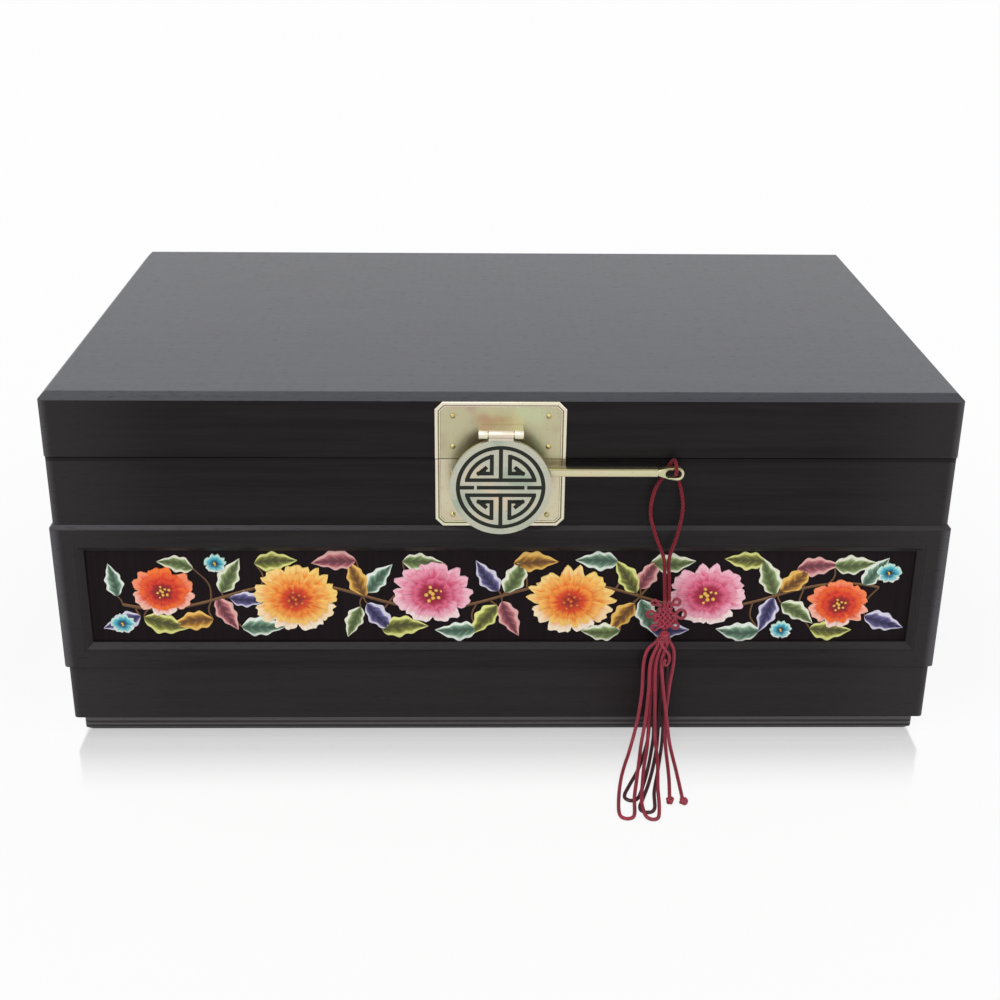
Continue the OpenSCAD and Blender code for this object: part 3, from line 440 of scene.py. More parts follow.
def boxed(bm, low, high):
    """A block between two corners."""
    low, high = Vector(low), Vector(high)
    made = bmesh.ops.create_cube(bm, size=1)["verts"]
    bmesh.ops.scale(bm, vec=high - low, verts=made)
    bmesh.ops.translate(bm, vec=(low + high) / 2, verts=made)
    return made


def soft_box(low, high, offset, segments):
    """A block with rounded edges."""
    bm = bmesh.new()
    boxed(bm, low, high)
    rounded(bm, bm.edges, offset, segments)
    return bm


def rolled(bm, route, radius, sides=10):
    """Rolls a grid into a round tube along a route in millimetres. Its map holds turns and millimetres."""
    lay = bm.loops.layers.uv.get("lay") or bm.loops.layers.uv.new("lay")
    last = len(route) - 1
    made = grid(bm, last, sides)
    spot = {v: (round((v.co.x + 1) / 2 * last), round((v.co.y + 1) / 2 * sides)) for v in made}
    run, side, rings = [0.0], None, []
    for i, point in enumerate(route):
        ahead = (route[min(i + 1, last)] - route[max(i - 1, 0)]).normalized()
        side = side or ahead.cross(Vector((0, 1, 0.01)))
        side = (side - side.dot(ahead) * ahead).normalized()
        rings.append((side, ahead.cross(side)))
        if i:
            run.append(run[-1] + (point - route[i - 1]).length)
    for face in {f for v in made for f in v.link_faces}:
        for loop in face.loops:
            i, j = spot[loop.vert]
            loop[lay].uv = (j / sides, run[i])
    for vert in made:
        i, j = spot[vert]
        turn = 2 * pi * j / sides
        vert.co = route[i] + radius * (cos(turn) * rings[i][0] + sin(turn) * rings[i][1])
    bmesh.ops.remove_doubles(bm, verts=made, dist=1e-5)
    capped(bm, {e for v in made if v.is_valid for e in v.link_edges})


CORD_LIES = 0.8


def smooth_route(places, spacing=0.5, low=None):
    """A smooth line through places, in even steps. The steps near a place follow how far it is
    from the next, so tight turns don't swing out."""
    places = [Vector((*p, CORD_LIES) if len(p) < 3 else p) for p in places]
    ends = [2 * places[0] - places[1], *places, 2 * places[-1] - places[-2]]
    fine = []
    for a, b, c, d in zip(ends, ends[1:], ends[2:], ends[3:]):
        t1 = (b - a).length ** 0.5
        t2 = t1 + (c - b).length ** 0.5
        t3 = t2 + (d - c).length ** 0.5
        for k in range(24):
            t = t1 + (t2 - t1) * k / 24
            p1 = a.lerp(b, t / t1)
            p2 = b.lerp(c, (t - t1) / (t2 - t1))
            p3 = c.lerp(d, (t - t2) / (t3 - t2))
            q1 = p1.lerp(p2, t / t2)
            q2 = p2.lerp(p3, (t - t1) / (t3 - t1))
            fine.append(q1.lerp(q2, (t - t1) / (t2 - t1)))
    fine.append(places[-1])
    total = sum((q - p).length for p, q in zip(fine, fine[1:]))
    steps = max(2, round(total / spacing))
    line, gone, want = [fine[0]], 0.0, total / steps
    for p, q in zip(fine, fine[1:]):
        leg = (q - p).length
        while leg and gone + leg >= want * len(line) and len(line) < steps:
            line.append(p.lerp(q, (want * len(line) - gone) / leg))
        gone += leg
    line.append(fine[-1])
    for _ in range(2):
        line[1:-1] = [(p + 2 * q + r) / 4 for p, q, r in zip(line, line[1:], line[2:])]
    if low is not None:
        for point in line:
            point.z = max(point.z, low)
    return line


def cord_piece(name, places, stands_for, finish=cord_silk):
    """A cord of the tassel along its route."""
    route = smooth_route(places, low=CORD / 2 + 0.01)
    bm = bmesh.new()
    rolled(bm, route, CORD / 2)
    piece = piece_from(name, bm, finish, "pin", stands_for, 60)
    length = sum((q - p).length for p, q in zip(route, route[1:]))
    route[0] * MM
    [p * MM for p in route]


# Tassel

# The cord's diameter, and its radius where it is pulled tight in the knot, the ears and the hitch
CORD, KNOT_R, EAR_R, HEAD_R, WRAP_R = 1.5, 0.72, 0.64, 0.73, 0.66
KNOT_MIDDLE = Vector((66.5, -116.8, 59.4))
HITCH_MIDDLE = Vector((66.6, -116.8, 49.8))
# Routes of the cords; a place that gives no height lies on the surface
LOOP = [
    (66, -116.8, 67.4), (65.4, -116.8, 77), (64.6, -116.8, 86), (61.2, -116.6, 95), (58.4, -116, 106),
    (60.2, -114.2, 115.5), (63.2, -113.5, 120.6), (65, -113.6, 124.6), (66.2, -114.8, 127.4),
    (66.9, -117.2, 128.2), (67.2, -119.5, 126), (67.3, -119, 123.6), (67.4, -116.8, 122.4),
    (67.9, -114.6, 121.6), (69.2, -113.8, 118.4), (70.8, -115.4, 112), (71, -116.5, 106),
    (69.4, -116.8, 96), (66.8, -116.8, 86), (67.2, -116.8, 77), (67.8, -116.8, 67.4)
]
OUTER = [
    (63.7, -116.9, 48.2), (60.4, -117, 45), (58.9, -117.2, 40), (58.4, -118.2, 24), (56.6, -119.8, 10),
    (53.4, -126.4, 1.6), (48.6, -144, 0.9), (45.9, -161), (45.5, -170.2), (46.3, -172.3), (48.4, -173.2),
    (50.5, -172.3), (51.3, -170.2), (52, -162, 2.6), (54.2, -149, 2.8), (56.6, -135, 2.8),
    (58.5, -124.2, 3.6), (60.3, -119.5, 12), (61.2, -118.5, 26), (61.5, -118.5, 40), (64.2, -118.5, 48.2)
]
FRONT = [
    (65.4, -116.8, 48.2), (63.1, -116.8, 41), (62.5, -116.9, 28), (62.2, -117.2, 14), (61.8, -119.6, 5.6),
    (60.8, -126, 2.8), (58.4, -138, 2.6), (56.2, -152, 2.6), (54.6, -165, 2.6), (55, -171, 2.2),
    (55.8, -173.1, 1.5), (57.9, -174, 1), (60, -173.1), (60.8, -171), (61.6, -164, 1.7), (62, -156, 2.6),
    (63.8, -139, 2.6), (64.5, -128, 2.8), (64.6, -120.6, 5.4), (64.2, -118.5, 18), (63.8, -118.5, 40),
    (65.95, -118.5, 48.2)
]
REAR = [
    (64, -115.1, 48.2), (62.9, -115.1, 28), (62.6, -115.3, 10), (62.2, -117.2, 2.6), (60.6, -123),
    (55.8, -139), (50.9, -151), (48.6, -157.2), (48.7, -159.4), (50.3, -160.9), (52.5, -160.7),
    (53.9, -159), (57, -149.4), (60.2, -137), (63.2, -123), (64.4, -117.2, 2.6), (64.6, -115.3, 10),
    (65.7, -115.1, 48.2)
]
INNER = [
    (67.4, -115.1, 48.2), (66.6, -115.3, 10), (66.2, -117.2, 2.6), (65.2, -123), (62.2, -137), (59, -149.4),
    (55.8, -159.4), (53.9, -165.4), (54.2, -167.7), (56.1, -169), (58.3, -168.6), (59.5, -166.6),
    (60.7, -155), (63.6, -141), (67, -124), (68.2, -117.2, 2.6), (68.6, -115.3, 10), (69.1, -115.1, 48.2)
]
LEFT_END = [
    (68.9, -116.9, 48.2), (70.6, -116.8, 45), (71.1, -116.8, 39), (70, -116.8, 27.6), (69.2, -116.9, 14),
    (69.1, -119.2, 3.8), (68.8, -127), (67.7, -146), (66.2, -160.6)
]
RIGHT_END = [
    (67.7, -118.5, 48.2), (66, -118.5, 40), (66.8, -118.5, 30), (69.2, -118.7, 13.6), (70.6, -122.2, 3.2),
    (71.2, -132), (71.4, -148), (71.4, -161)
]
# Ears of the knot: how far beside and over its middle, and their radius
EARS = [
    (6.5, 1.5, 1.85), (-6, 1.5, 1.5), (4.4, 7, 1.35), (-4.6, 6.8, 1.2), (4.4, -3.8, 1.3), (-4, -4.6, 1.4)
]
# Each head in the hitch: how high over its strand, and how far out as a share of the strand's place
HEAD = ((-0.5, 1.03), (0.7, 0.82), (1.8, 0.52), (3.2, 0.34), (5, 0.28))
WRAPPED, WRAP_H = 756, 2.2
TAIL = [
    (-1.8, -1.6, -0.4), (-0.9, -3.1, -2.2), (0.6, -3.6, -4), (1.9, -3.4, -6), (2.3, -3.1, -8.4),
    (1.7, -2.9, -10.4), (0.6, -3.1, -11), (0.1, -3.3, -9.6), (0.7, -3.4, -8)
]


def woven_knot():
    """Two cords that run to and fro across each other, over and under, with ears beside."""
    bm = bmesh.new()
    pitch, lean, reach, lift = 1.66, radians(38), 2.75, 0.7
    rise = Vector((sin(lean), 0, cos(lean))) * pitch
    fall = Vector((-sin(lean), 0, cos(lean))) * pitch
    for along, across, over in ((rise, fall, lift), (fall, rise, -lift)):
        places = []
        for run in range(-2, 3):
            way = 1 if run % 2 == 0 else -1
            for step in range(-2 * way, 3 * way, way):
                places.append(KNOT_MIDDLE + along * step + across * run
                              + Vector((0, over * (-1) ** (run + step), 0)))
            if run < 2:
                places.append(KNOT_MIDDLE + along * reach * way + across * (run + 0.5))
        rolled(bm, smooth_route(places, 0.4), KNOT_R, 8)
    for x, z, size in EARS:
        middle = KNOT_MIDDLE + Vector((x, 0, z))
        outward = Vector((x, 0, z * 0.35)).normalized()
        beside = Vector((-outward.z, 0, outward.x))
        root, apart = KNOT_MIDDLE + Vector((x * 0.4, 0, z * 0.75)), Vector((0, 0.4, -0.3))
        ear = [root - apart]
        for degrees in range(-150, 151, 12):
            a = radians(degrees)
            ear.append(middle + (outward * cos(a) + beside * sin(a)) * size)
            ear[-1].y += 0.3 * sin(a)
        rolled(bm, smooth_route([*ear, root + apart], 0.4), EAR_R, 8)
    for x in (66, 67.8):
        neck = [(x, -116.8, 68.4), (x, -116.8, 67), (66.6 + (x - 66.9) * 0.7, -116.9, 65), (66.6, -117, 63)]
        rolled(bm, smooth_route(neck, 0.4), HEAD_R, 8)
    return piece_from("woven_knot", bm, cord_silk, "pin", ["mystic_knot"], 60)


def wrapped_hitch():
    """The heads of the strands drawn together under the knot, wrapped twice, with a short tail in front."""
    bm = bmesh.new()
    heads = [end for strand in (OUTER, FRONT, REAR, INNER) for end in (strand[0], strand[-1])]
    for x, y, z in [*heads, LEFT_END[0], RIGHT_END[0]]:
        out = Vector((x, y, 0)) - Vector((HITCH_MIDDLE.x, HITCH_MIDDLE.y, 0))
        head = [Vector((HITCH_MIDDLE.x, HITCH_MIDDLE.y, z + up)) + out * share for up, share in HEAD]
        rolled(bm, smooth_route(head, 0.5), HEAD_R, 8)
    wrap = []
    for degrees in range(0, WRAPPED + 1, 21):
        a = radians(degrees)
        wrap.append((1.6 * cos(a), -1.7 * sin(a), WRAP_H * (1 - degrees / WRAPPED)))
    for route in (wrap, TAIL):
        rolled(bm, smooth_route([HITCH_MIDDLE + Vector(p) for p in route], 0.4), WRAP_R, 8)
    return piece_from("wrapped_hitch", bm, cord_silk, "pin", ["tassel_hitch"], 60)


def end_knot(name, x, y, turn):
    """A small tight overhand knot of the cord."""
    bm = bmesh.new()
    places, middle_z = [], 1.66
    for degrees in range(0, 331, 15):
        a = radians(degrees)
        ring, round_it = 0.86 + 0.26 * cos(3 * a), 2 * a + turn
        places.append((x + ring * cos(round_it), y + ring * sin(round_it),
                       middle_z + 0.7 * sin(3 * a)))
    rolled(bm, smooth_route(places, 0.35), 0.8, 8)
    return piece_from(name + "_tied", bm, cord_silk, "pin", [name], 60)


knot = woven_knot()
hitch = wrapped_hitch()
left_knot = end_knot("end_knot_left", 66.2, -162.16, 0.3)
right_knot = end_knot("end_knot_right", 71.4, -162.56, 1.7)
cord_piece("loop_cord", LOOP, ["hanging_loop"], loop_cord_silk_painted_shade)
cord_piece("outer_strand", OUTER, ["strand_loop_outer"])
cord_piece("front_strand", FRONT, ["strand_loop_front"])
cord_piece("rear_strand", REAR, ["strand_loop_rear"], finish=cord_silk_painted_shade)
cord_piece("inner_strand", INNER, ["strand_loop_inner"], finish=cord_silk_painted_shade)
cord_piece("left_end_strand", LEFT_END, ["strand_end_left"])
cord_piece("right_end_strand", RIGHT_END, ["strand_end_right"])


# Wooden case and lid

dress("plinth", foot_wood_painted_light, 0.25)
dress("case_front case_back lid_front lid_back", front_wood, 0.25)
dress("case_left case_right lid_left lid_right", side_wood, 0.25)
dress("belt_top_rail belt_bottom_rail belt_stile_left belt_stile_right", belt_wood, 0.2)
dress("belt_back window_moulding", belt_wood, 0.2)
dress("belt_left belt_right", belt_side_wood, 0.2)
dress("lid_top", top_wood_painted_sheen, 0.3)
dress("case_floor silk_panel", hidden_board)


# Lock

LOCK_X, PLATE_W, PLATE_T, PLATE_CUT = -1.2, 51.4, 1.2, 3
CASE_FACE, LID_FACE, SEAM_LOW, SEAM_HIGH = -110.9, -111.2, 126.7, 127.1
FRONTWARD = Matrix.Rotation(radians(90), 4, "X")
# From a plate's rim inward: width and rise of each step, and its finish (1 rim, painted highlight; 2
# groove, painted shade)
PLATE_STEPS = ((0.85, 0, 1), (0.2, -0.45, 2), (0.22, 0, 2), (0.14, 0.24, 1), (0.36, 0, 1), (0.16, -0.18, 2))
# Radius and distance forward
NAIL = [
    (0, 0.72), (0.36, 0.68), (0.68, 0.54), (0.92, 0.32), (1.08, 0.05), (1.02, -0.06), (0.5, -0.08),
    (0.5, -2.5), (0, -2.8)
]
NAIL_IN, NAIL_OUT = 7, 0.9
BAR_LOW, BAR_HIGH = (4.8, -118.4, 121.9), (60.4, -115.2, 125.1)
# The pin's eye: front face, thickness, middle height, the ends of its hole, radii, its neck and length
EYE_FRONT, EYE_T, EYE_Z, EYE_NEAR, EYE_FAR = -118.1, 2.6, 122.925, 64.95, 67.95
HOLE_R, EYE_R, NECK_X, NECK = 1.6, 2.75, 63.6, 4.4
# Corners of the enamel in a hook of the fret, as shares of the disc's radius
FRET_CORNER = [(0.43, 0.3), (0.3, 0.425), (0.285, 0.3)]


def lock_plate(name, node, face_y, seam_z, height, way, body):
    """A plate that runs from the seam outward: a rounded rim, a groove and a fine bead on three sides
    of a sunk face. It is made past the seam and cut off there, so it has no rim along it."""
    bm = bmesh.new()
    half, spare, bent = PLATE_W / 2, -6, height - PLATE_CUT
    corners = [(-half, spare), (half, spare), (half, bent), (half - PLATE_CUT, height),
               (-half + PLATE_CUT, height), (-half, bent)]
    back = bm.faces.new([bm.verts.new((LOCK_X + x, face_y, seam_z + way * z)) for x, z in corners])
    front = drawn_out(bm, [back], (0, -PLATE_T, 0))
    bmesh.ops.recalc_face_normals(bm, faces=bm.faces)
    face = next(f for f in front if isinstance(f, bmesh.types.BMFace))
    rounded(bm, face.edges, 0.35)
    face = max((f for f in bm.faces if f.normal.y < -0.99), key=lambda f: f.calc_area())
    for rim in bm.faces:
        rim.material_index = 1
    for width, rise, finish in PLATE_STEPS:
        ring = bmesh.ops.inset_region(bm, faces=[face], thickness=width, depth=rise, use_even_offset=True)
        for part in ring["faces"]:
            part.material_index = finish
    face.material_index = 0
    bmesh.ops.bisect_plane(bm, geom=[*bm.verts, *bm.edges, *bm.faces], dist=1e-5, plane_co=(0, 0, seam_z),
                           plane_no=(0, 0, way), clear_inner=True)
    capped(bm, bm.edges)
    plate = piece_from(name, bm, plate_metal, body, [node], 30)
    plate.data.materials.append(rim_metal_painted_highlight)
    plate.data.materials.append(groove_metal_painted_shade)


def spun(bm, profile, place, steps=24):
    """Spins a profile of (radius, distance forward) about a line toward the front."""
    verts = [bm.verts.new((r, 0, h)) for r, h in profile]
    edges = [bm.edges.new(pair) for pair in zip(verts, verts[1:])]
    before = set(bm.verts) - set(verts)
    bmesh.ops.spin(bm, geom=verts + edges, cent=(0, 0, 0), axis=(0, 0, 1), angle=2 * pi, steps=steps,
                   use_merge=True)
    made = [v for v in bm.verts if v not in before]
    bmesh.ops.remove_doubles(bm, verts=made, dist=1e-4)
    made = [v for v in bm.verts if v not in before]
    bmesh.ops.transform(bm, matrix=Matrix.Translation(place) @ FRONTWARD, verts=made)


def nails(name, node, face_y, low_z, high_z, body):
    """Domed brass nails in the four corners of a plate."""
    bm = bmesh.new()
    for side in (-1, 1):
        for z in (low_z, high_z):
            spun(bm, NAIL, Vector((LOCK_X + side * (PLATE_W / 2 - NAIL_IN), face_y, z)), 16)
    piece_from(name, bm, nail_metal, body, [node], 50)


def lock_pin():
    """A square bar with softened edges, forged at its end into a flat eye with a long hole."""
    bm = soft_box(BAR_LOW, BAR_HIGH, 0.4, 3)
    rim, hole, steps = [], [], 40
    for step in range(steps):
        a = 2 * pi * step / steps
        side, up = cos(a), sin(a)
        far = side > -0.01
        hole.append(((EYE_FAR if far else EYE_NEAR) + HOLE_R * side, EYE_Z + HOLE_R * up))
        if far:
            rim.append((EYE_FAR + EYE_R * side, EYE_Z + EYE_R * up))
        else:
            rim.append((NECK_X + NECK * (side + up ** 2), EYE_Z + EYE_R * up + 0.5 * side ** 2))
    edges = []
    for loop in (rim, hole):
        ring = [bm.verts.new((x, EYE_FRONT, z)) for x, z in loop]
        edges += [bm.edges.new(pair) for pair in zip(ring, ring[1:] + ring[:1])]
    front = bmesh.ops.bridge_loops(bm, edges=edges)["faces"]
    drawn_out(bm, front, (0, EYE_T, 0))
    rounded(bm, {e for f in front for e in f.edges if any(g not in front for g in e.link_faces)}, 0.45)
    piece_from("lock_pin_bar", bm, pin_metal, "pin", ["lock_pin"], 50)


def fret_corners():
    """Enamel that fills the corner within each hook of the fret, just proud of the disc's face."""
    low, high = span("hasp_disc")
    radius, proud, depth = (high.x - low.x) / 2, 0.02, 0.3
    bm = bmesh.new()
    for side in (-radius, radius):
        for way in (-radius, radius):
            corner = [bm.verts.new((LOCK_X + side * x, low.y - proud, low.z + radius + way * z))
                      for x, z in FRET_CORNER]
            drawn_out(bm, [bm.faces.new(corner)], (0, depth, 0))
    piece_from("fret_corner_enamel", bm, line_enamel, "hasp")


lock_plate("plate_lower", "lock_plate_lower", CASE_FACE, SEAM_LOW, 28.6, -1, "case")
lock_plate("plate_upper", "lock_plate_upper", LID_FACE, SEAM_HIGH, 23.5, 1, "lid")
nails("nails_lower", "plate_nails_lower", CASE_FACE - NAIL_OUT, 102.9, 120.7, "case")
nails("nails_upper", "plate_nails_upper", LID_FACE - NAIL_OUT, 132.1, 144.8, "lid")
lock_pin()
dress("staple_left staple_right hasp_lug", plate_metal, 0.2)
dress("hasp_knuckles hasp_hinge_pin", rim_metal_painted_highlight, 0.15)
dress("hasp_disc", disc_metal, 0.26)
dress("hasp_inlay", line_enamel)
fret_corners()


# Silk panel and embroidery

VIEW_W, VIEW_H, VIEW_Z, SILK_Y = 336.8, 41.6, 65.3, -109.2
TONES = {
    "gold": ("#e0400f", "#fb8c22", "#ffd672"), "pink": ("#a81440", "#e2527c", "#f9b9cc"),
    "red": ("#a00c14", "#e42a14", "#ff7a2a"), "pale": ("#4c5a30", "#8fa568", "#f3f4dc"),
    "olive": ("#4a4a20", "#969a3e", "#ebec92"), "indigo": ("#22204e", "#6f689c", "#e2def0"),
    "ochre": ("#6a4018", "#c29a30", "#f8e27c"), "rose": ("#6a303c", "#c07a7c", "#f5d8cc"),
    "mint": ("#3c5a48", "#85aa90", "#f0f8ec"), "stem": ("#442a16", "#6e4a28", "#946c3c"),
    "aqua": ("#166f8c", "#3fb6cc", "#c8f0e0"), "heart": ("#7c101c", "#cc3a22", "#f6a838"),
    "yolk": ("#c06a16", "#f2b434", "#fff0a0"),
}
TONES = {kind: [paint(code) for code in codes] for kind, codes in TONES.items()}
EDGE_WHITE, DUSK = paint("#fff6ee"), paint("#4a0712")
SILK_W, SILK_H = 342.4, 47.2
BROAD = 1.16


def blended(first, second, share):
    return tuple(a + (b - a) * share for a, b in zip(first, second))


def new_stitching():
    bm = bmesh.new()
    bm.verts.layers.float_vector.new("lie")
    for tone in ("deep", "middle", "edge"):
        bm.verts.layers.float_color.new(tone)
    return bm


def stitched(bm, shape, across, along, tones, seed):
    """A field of satin stitch: a grid laid by shape(s, t), where s runs -1 to 1 across and t runs 0
    to 1 outward. Shape gives x, z and height on the silk, millimetres across the threads and the
    tone's way."""
    layers = [bm.verts.layers.float_color[n] for n in ("deep", "middle", "edge")]
    lie = bm.verts.layers.float_vector["lie"]
    made = grid(bm, across, along)
    rims = list({e for v in made for e in v.link_edges if e.is_boundary})
    for vert in made:
        s, t = vert.co.x, (vert.co.y + 1) / 2
        x, z, height, thread, way = shape(s, t)
        vert.co = (x, SILK_Y - height, z)
        vert[lie] = (thread, way, seed)
        for layer, tone in zip(layers, tones):
            vert[layer] = tone
    skirt = bmesh.ops.extrude_edge_only(bm, edges=rims)["geom"]
    for vert in points(skirt):
        vert.co.y = SILK_Y + 0.15
    capped(bm, skirt)


def flower(bm, x, z, radius, petals, kind, rng):
    """A blossom in rings of ruffled petals round a knotted heart. Its lower petals are paler, and each
    petal carries painted shade on the side under its neighbour.
    """
    deep, middle, edge = TONES[kind]
    small = radius < 6
    rings = [(1.0, 0.2, 0, 0.5), (0.78, 0.14, 0.5, 0.85), (0.52, 0.08, 0.25, 1.2)][:1 if small else 3]
    for number, (reach, start, shift, lift) in enumerate(rings):
        count = petals - number
        order = list(range(count))
        rng.shuffle(order)
        for i in order:
            turn0 = 2 * pi * (i + shift) / count + rng.uniform(-0.06, 0.06)
            pale = max(0.0, -cos(turn0)) * 0.7 + rng.uniform(0, 0.15)
            size = radius * reach * rng.uniform(0.94, 1.0)
            wave, dip, up = rng.uniform(0, 6), rng.uniform(0.04, 0.1), lift + rng.uniform(0, 0.22)
            half = pi / count * (1.16 if number == 0 else 1.3)
            tones = [(deep, blended(middle, edge, pale * 0.4), blended(edge, EDGE_WHITE, pale)),
                     (blended(deep, DUSK, 0.25), blended(deep, middle, 0.7),
                      blended(middle, edge, 0.55 + 0.4 * pale)),
                     (blended(deep, DUSK, 0.6), deep, blended(middle, edge, 0.15))][number]

            def petal(s, t):
                lobes = 0.05 * cos(3 * pi * s + wave) + 0.03 * cos(7 * s - wave)
                edge_share = 1 - 0.3 * abs(s) ** 3.2 + lobes - dip * exp(-(s / 0.18) ** 2)
                r = size * (start + (edge_share - start) * t)
                turn = turn0 + s * half * (0.8 + 0.2 * min(1, t * 1.5))
                height = up + 0.5 * (1 - s * s) ** 0.5 * sin(pi * (0.1 + 0.8 * t))
                # Painted shade: the way drawn back toward the deep tone on the side under the next petal,
                # and along the middle near the base
                overlap_shade = 0.3 * max(0.0, s) ** 2 * (1 - 0.5 * t) + 0.14 * exp(-(s / 0.1) ** 2) * (1 - t)
                return (x + BROAD * r * sin(turn), z + r * cos(turn),
                        height + 0.06 * sin(9 * s), s * size * 0.55 * half + 0.2 * t, t * 1.02 - overlap_shade)

            stitched(bm, petal, 6 if small else 12, 5 if small else 9, tones, rng.random())
    for i in range(3 if small else 9):
        turn, r = i * 2.4, radius * 0.09 * sqrt(i)
        seed_knot(bm, x + r * cos(turn), z + r * sin(turn), max(radius * 0.062, 0.45), kind, rng,
                  0.9 if small else 1.6)


def seed_knot(bm, x, z, size, kind, rng, lift):
    """A small domed knot stitch."""
    tones = TONES["yolk" if kind != "gold" else "heart"]

    def dome(s, t):
        turn, r = pi * s, size * t
        height = lift + 0.35 * cos(t * 1.5)
        return x + r * sin(turn), z + r * cos(turn), height, r * 3, 0.9 - 0.5 * t

    stitched(bm, dome, 8, 3, tones, rng.random())


def leaf(bm, x, z, length, degrees, kind, rng, tip):
    """A leaf of slanting stitches: a dark middle, a sunk midrib, pale veins and a wavy pale rim."""
    deep, middle, edge = TONES[kind]
    turn = radians(degrees)
    along, beside = (cos(turn), sin(turn)), (-sin(turn), cos(turn))
    bend, wave, lean = rng.uniform(-0.07, 0.07) * length, rng.uniform(0, 6), rng.choice((-0.12, 0.12))

    def half(s, t):
        full = sin(pi * t ** 0.72) if 0 < t < 1 else 0
        ruffle = 1 + 0.13 * sin(21 * t + wave + (2.0 if s > 0 else 0)) * min(1, 3 * (1 - t))
        a, b = t * length, (s * ruffle * 1.08 + lean * (1 - s * s)) * 0.22 * length * full
        b += bend * sin(pi * t)
        rib = exp(-(s / 0.12) ** 2)
        height = 0.3 + 0.45 * full * (1 - abs(s) ** 2.5) - 0.25 * rib * full
        vein = 0.2 * max(0.0, cos(2 * pi * (t * 5.5 - abs(s) * 1.2))) ** 3 * (1 - rib)
        rim = 1 / (1 + exp(-(abs(s) - 0.66 + 0.25 * t ** 4) * 16))
        way = 0.08 + 0.34 * abs(s) + vein + 0.62 * rim * (1 - rib)
        return (x + a * along[0] + b * beside[0], z + a * along[1] + b * beside[1], height,
                a * 0.8 - abs(b) * 1.2, way + 0.1 * (t > 0.9))

    if tip:
        edge = blended(edge, paint(tip), 0.35)
        middle = blended(middle, paint(tip), 0.2)
    stitched(bm, half, 16, 26, (deep, middle, edge), rng.random())


def vine(u):
    """Height of the vine over the window's middle, at a share of the way along."""
    return VIEW_H * 0.14 * sin(radians(360 * 3 * u))


def stem(bm, places, thick, thin):
    """A couched cord of stem stitch that tapers."""
    line = smooth_route([(px, SILK_Y, pz) for px, pz in places], 1.2)
    last = len(line) - 1

    def run(s, t):
        i = round(t * last)
        spot, ahead = line[i], (line[min(i + 1, last)] - line[max(i - 1, 0)]).normalized()
        width = thick + (thin - thick) * t
        height = 0.12 + 0.5 * width * (1 - s * s) ** 0.5
        return (spot.x - ahead.z * s * width, spot.z + ahead.x * s * width, height,
                t * last * 1.2 + s * width, 0.45 + 0.35 * s)

    stitched(bm, run, 4, last, TONES["stem"], 0.5)


FLOWERS = [
    (-0.41, 0.06, 0.27, 6, "red"), (-0.25, -0.02, 0.38, 9, "gold"), (-0.084, 0.04, 0.35, 7, "pink"),
    (0.084, -0.04, 0.38, 9, "gold"), (0.25, 0.02, 0.35, 7, "pink"), (0.412, -0.08, 0.27, 6, "red"),
    (-0.462, -0.3, 0.11, 5, "aqua"), (0.47, 0.26, 0.11, 5, "aqua"), (-0.345, 0.36, 0.1, 5, "aqua"),
    (0.344, -0.37, 0.1, 5, "aqua")
]
LEAVES = [
    (-0.466, 0, 0.36, 100, "mint"), (-0.44, -0.22, 0.4, 200, "indigo"), (-0.436, -0.24, 0.46, -14, "olive"),
    (-0.372, 0.3, 0.36, 168, "pale"), (-0.34, 0.04, 0.42, 62, "pale"), (-0.345, -0.02, 0.4, -62, "rose"),
    (-0.352, -0.26, 0.42, 190, "ochre"), (-0.33, -0.02, 0.36, -5, "indigo"),
    (-0.318, -0.34, 0.44, 0, "mint"), (-0.298, 0.36, 0.42, 4, "olive"), (-0.166, 0, 0.42, 112, "ochre"),
    (-0.164, 0.04, 0.4, 50, "mint"), (-0.172, -0.12, 0.36, -112, "pale"),
    (-0.164, -0.08, 0.42, -48, "indigo"), (-0.176, 0.39, 0.44, 184, "rose"),
    (-0.146, -0.38, 0.46, 6, "olive"), (-0.12, 0.38, 0.4, -2, "pale"), (0.004, 0.04, 0.44, 66, "pale"),
    (-0.004, 0.06, 0.4, 124, "indigo"), (0, -0.06, 0.42, -66, "rose"), (-0.006, -0.1, 0.42, -128, "olive"),
    (0.014, 0.36, 0.44, 2, "ochre"), (-0.03, -0.36, 0.42, 182, "mint"), (0.168, 0.08, 0.38, 62, "rose"),
    (0.164, 0.04, 0.42, 122, "olive"), (0.17, -0.04, 0.44, -66, "mint"), (0.162, -0.08, 0.4, -126, "ochre"),
    (0.18, 0.37, 0.44, 2, "pale"), (0.182, -0.36, 0.4, -2, "indigo"), (0.14, 0.38, 0.42, 178, "mint"),
    (0.146, -0.38, 0.4, 180, "pale"), (0.334, 0.02, 0.44, 112, "pale"), (0.34, 0.06, 0.42, 46, "ochre"),
    (0.332, -0.02, 0.4, -108, "indigo"), (0.342, -0.08, 0.4, -34, "pale"), (0.358, 0.3, 0.42, 6, "rose"),
    (0.318, 0.38, 0.4, 176, "olive"), (0.318, -0.38, 0.44, 178, "mint"), (0.38, -0.36, 0.42, -2, "olive"),
    (0.44, 0.12, 0.38, 52, "mint"), (0.446, -0.22, 0.42, -18, "indigo"), (0.402, 0.34, 0.42, 4, "pale")
]


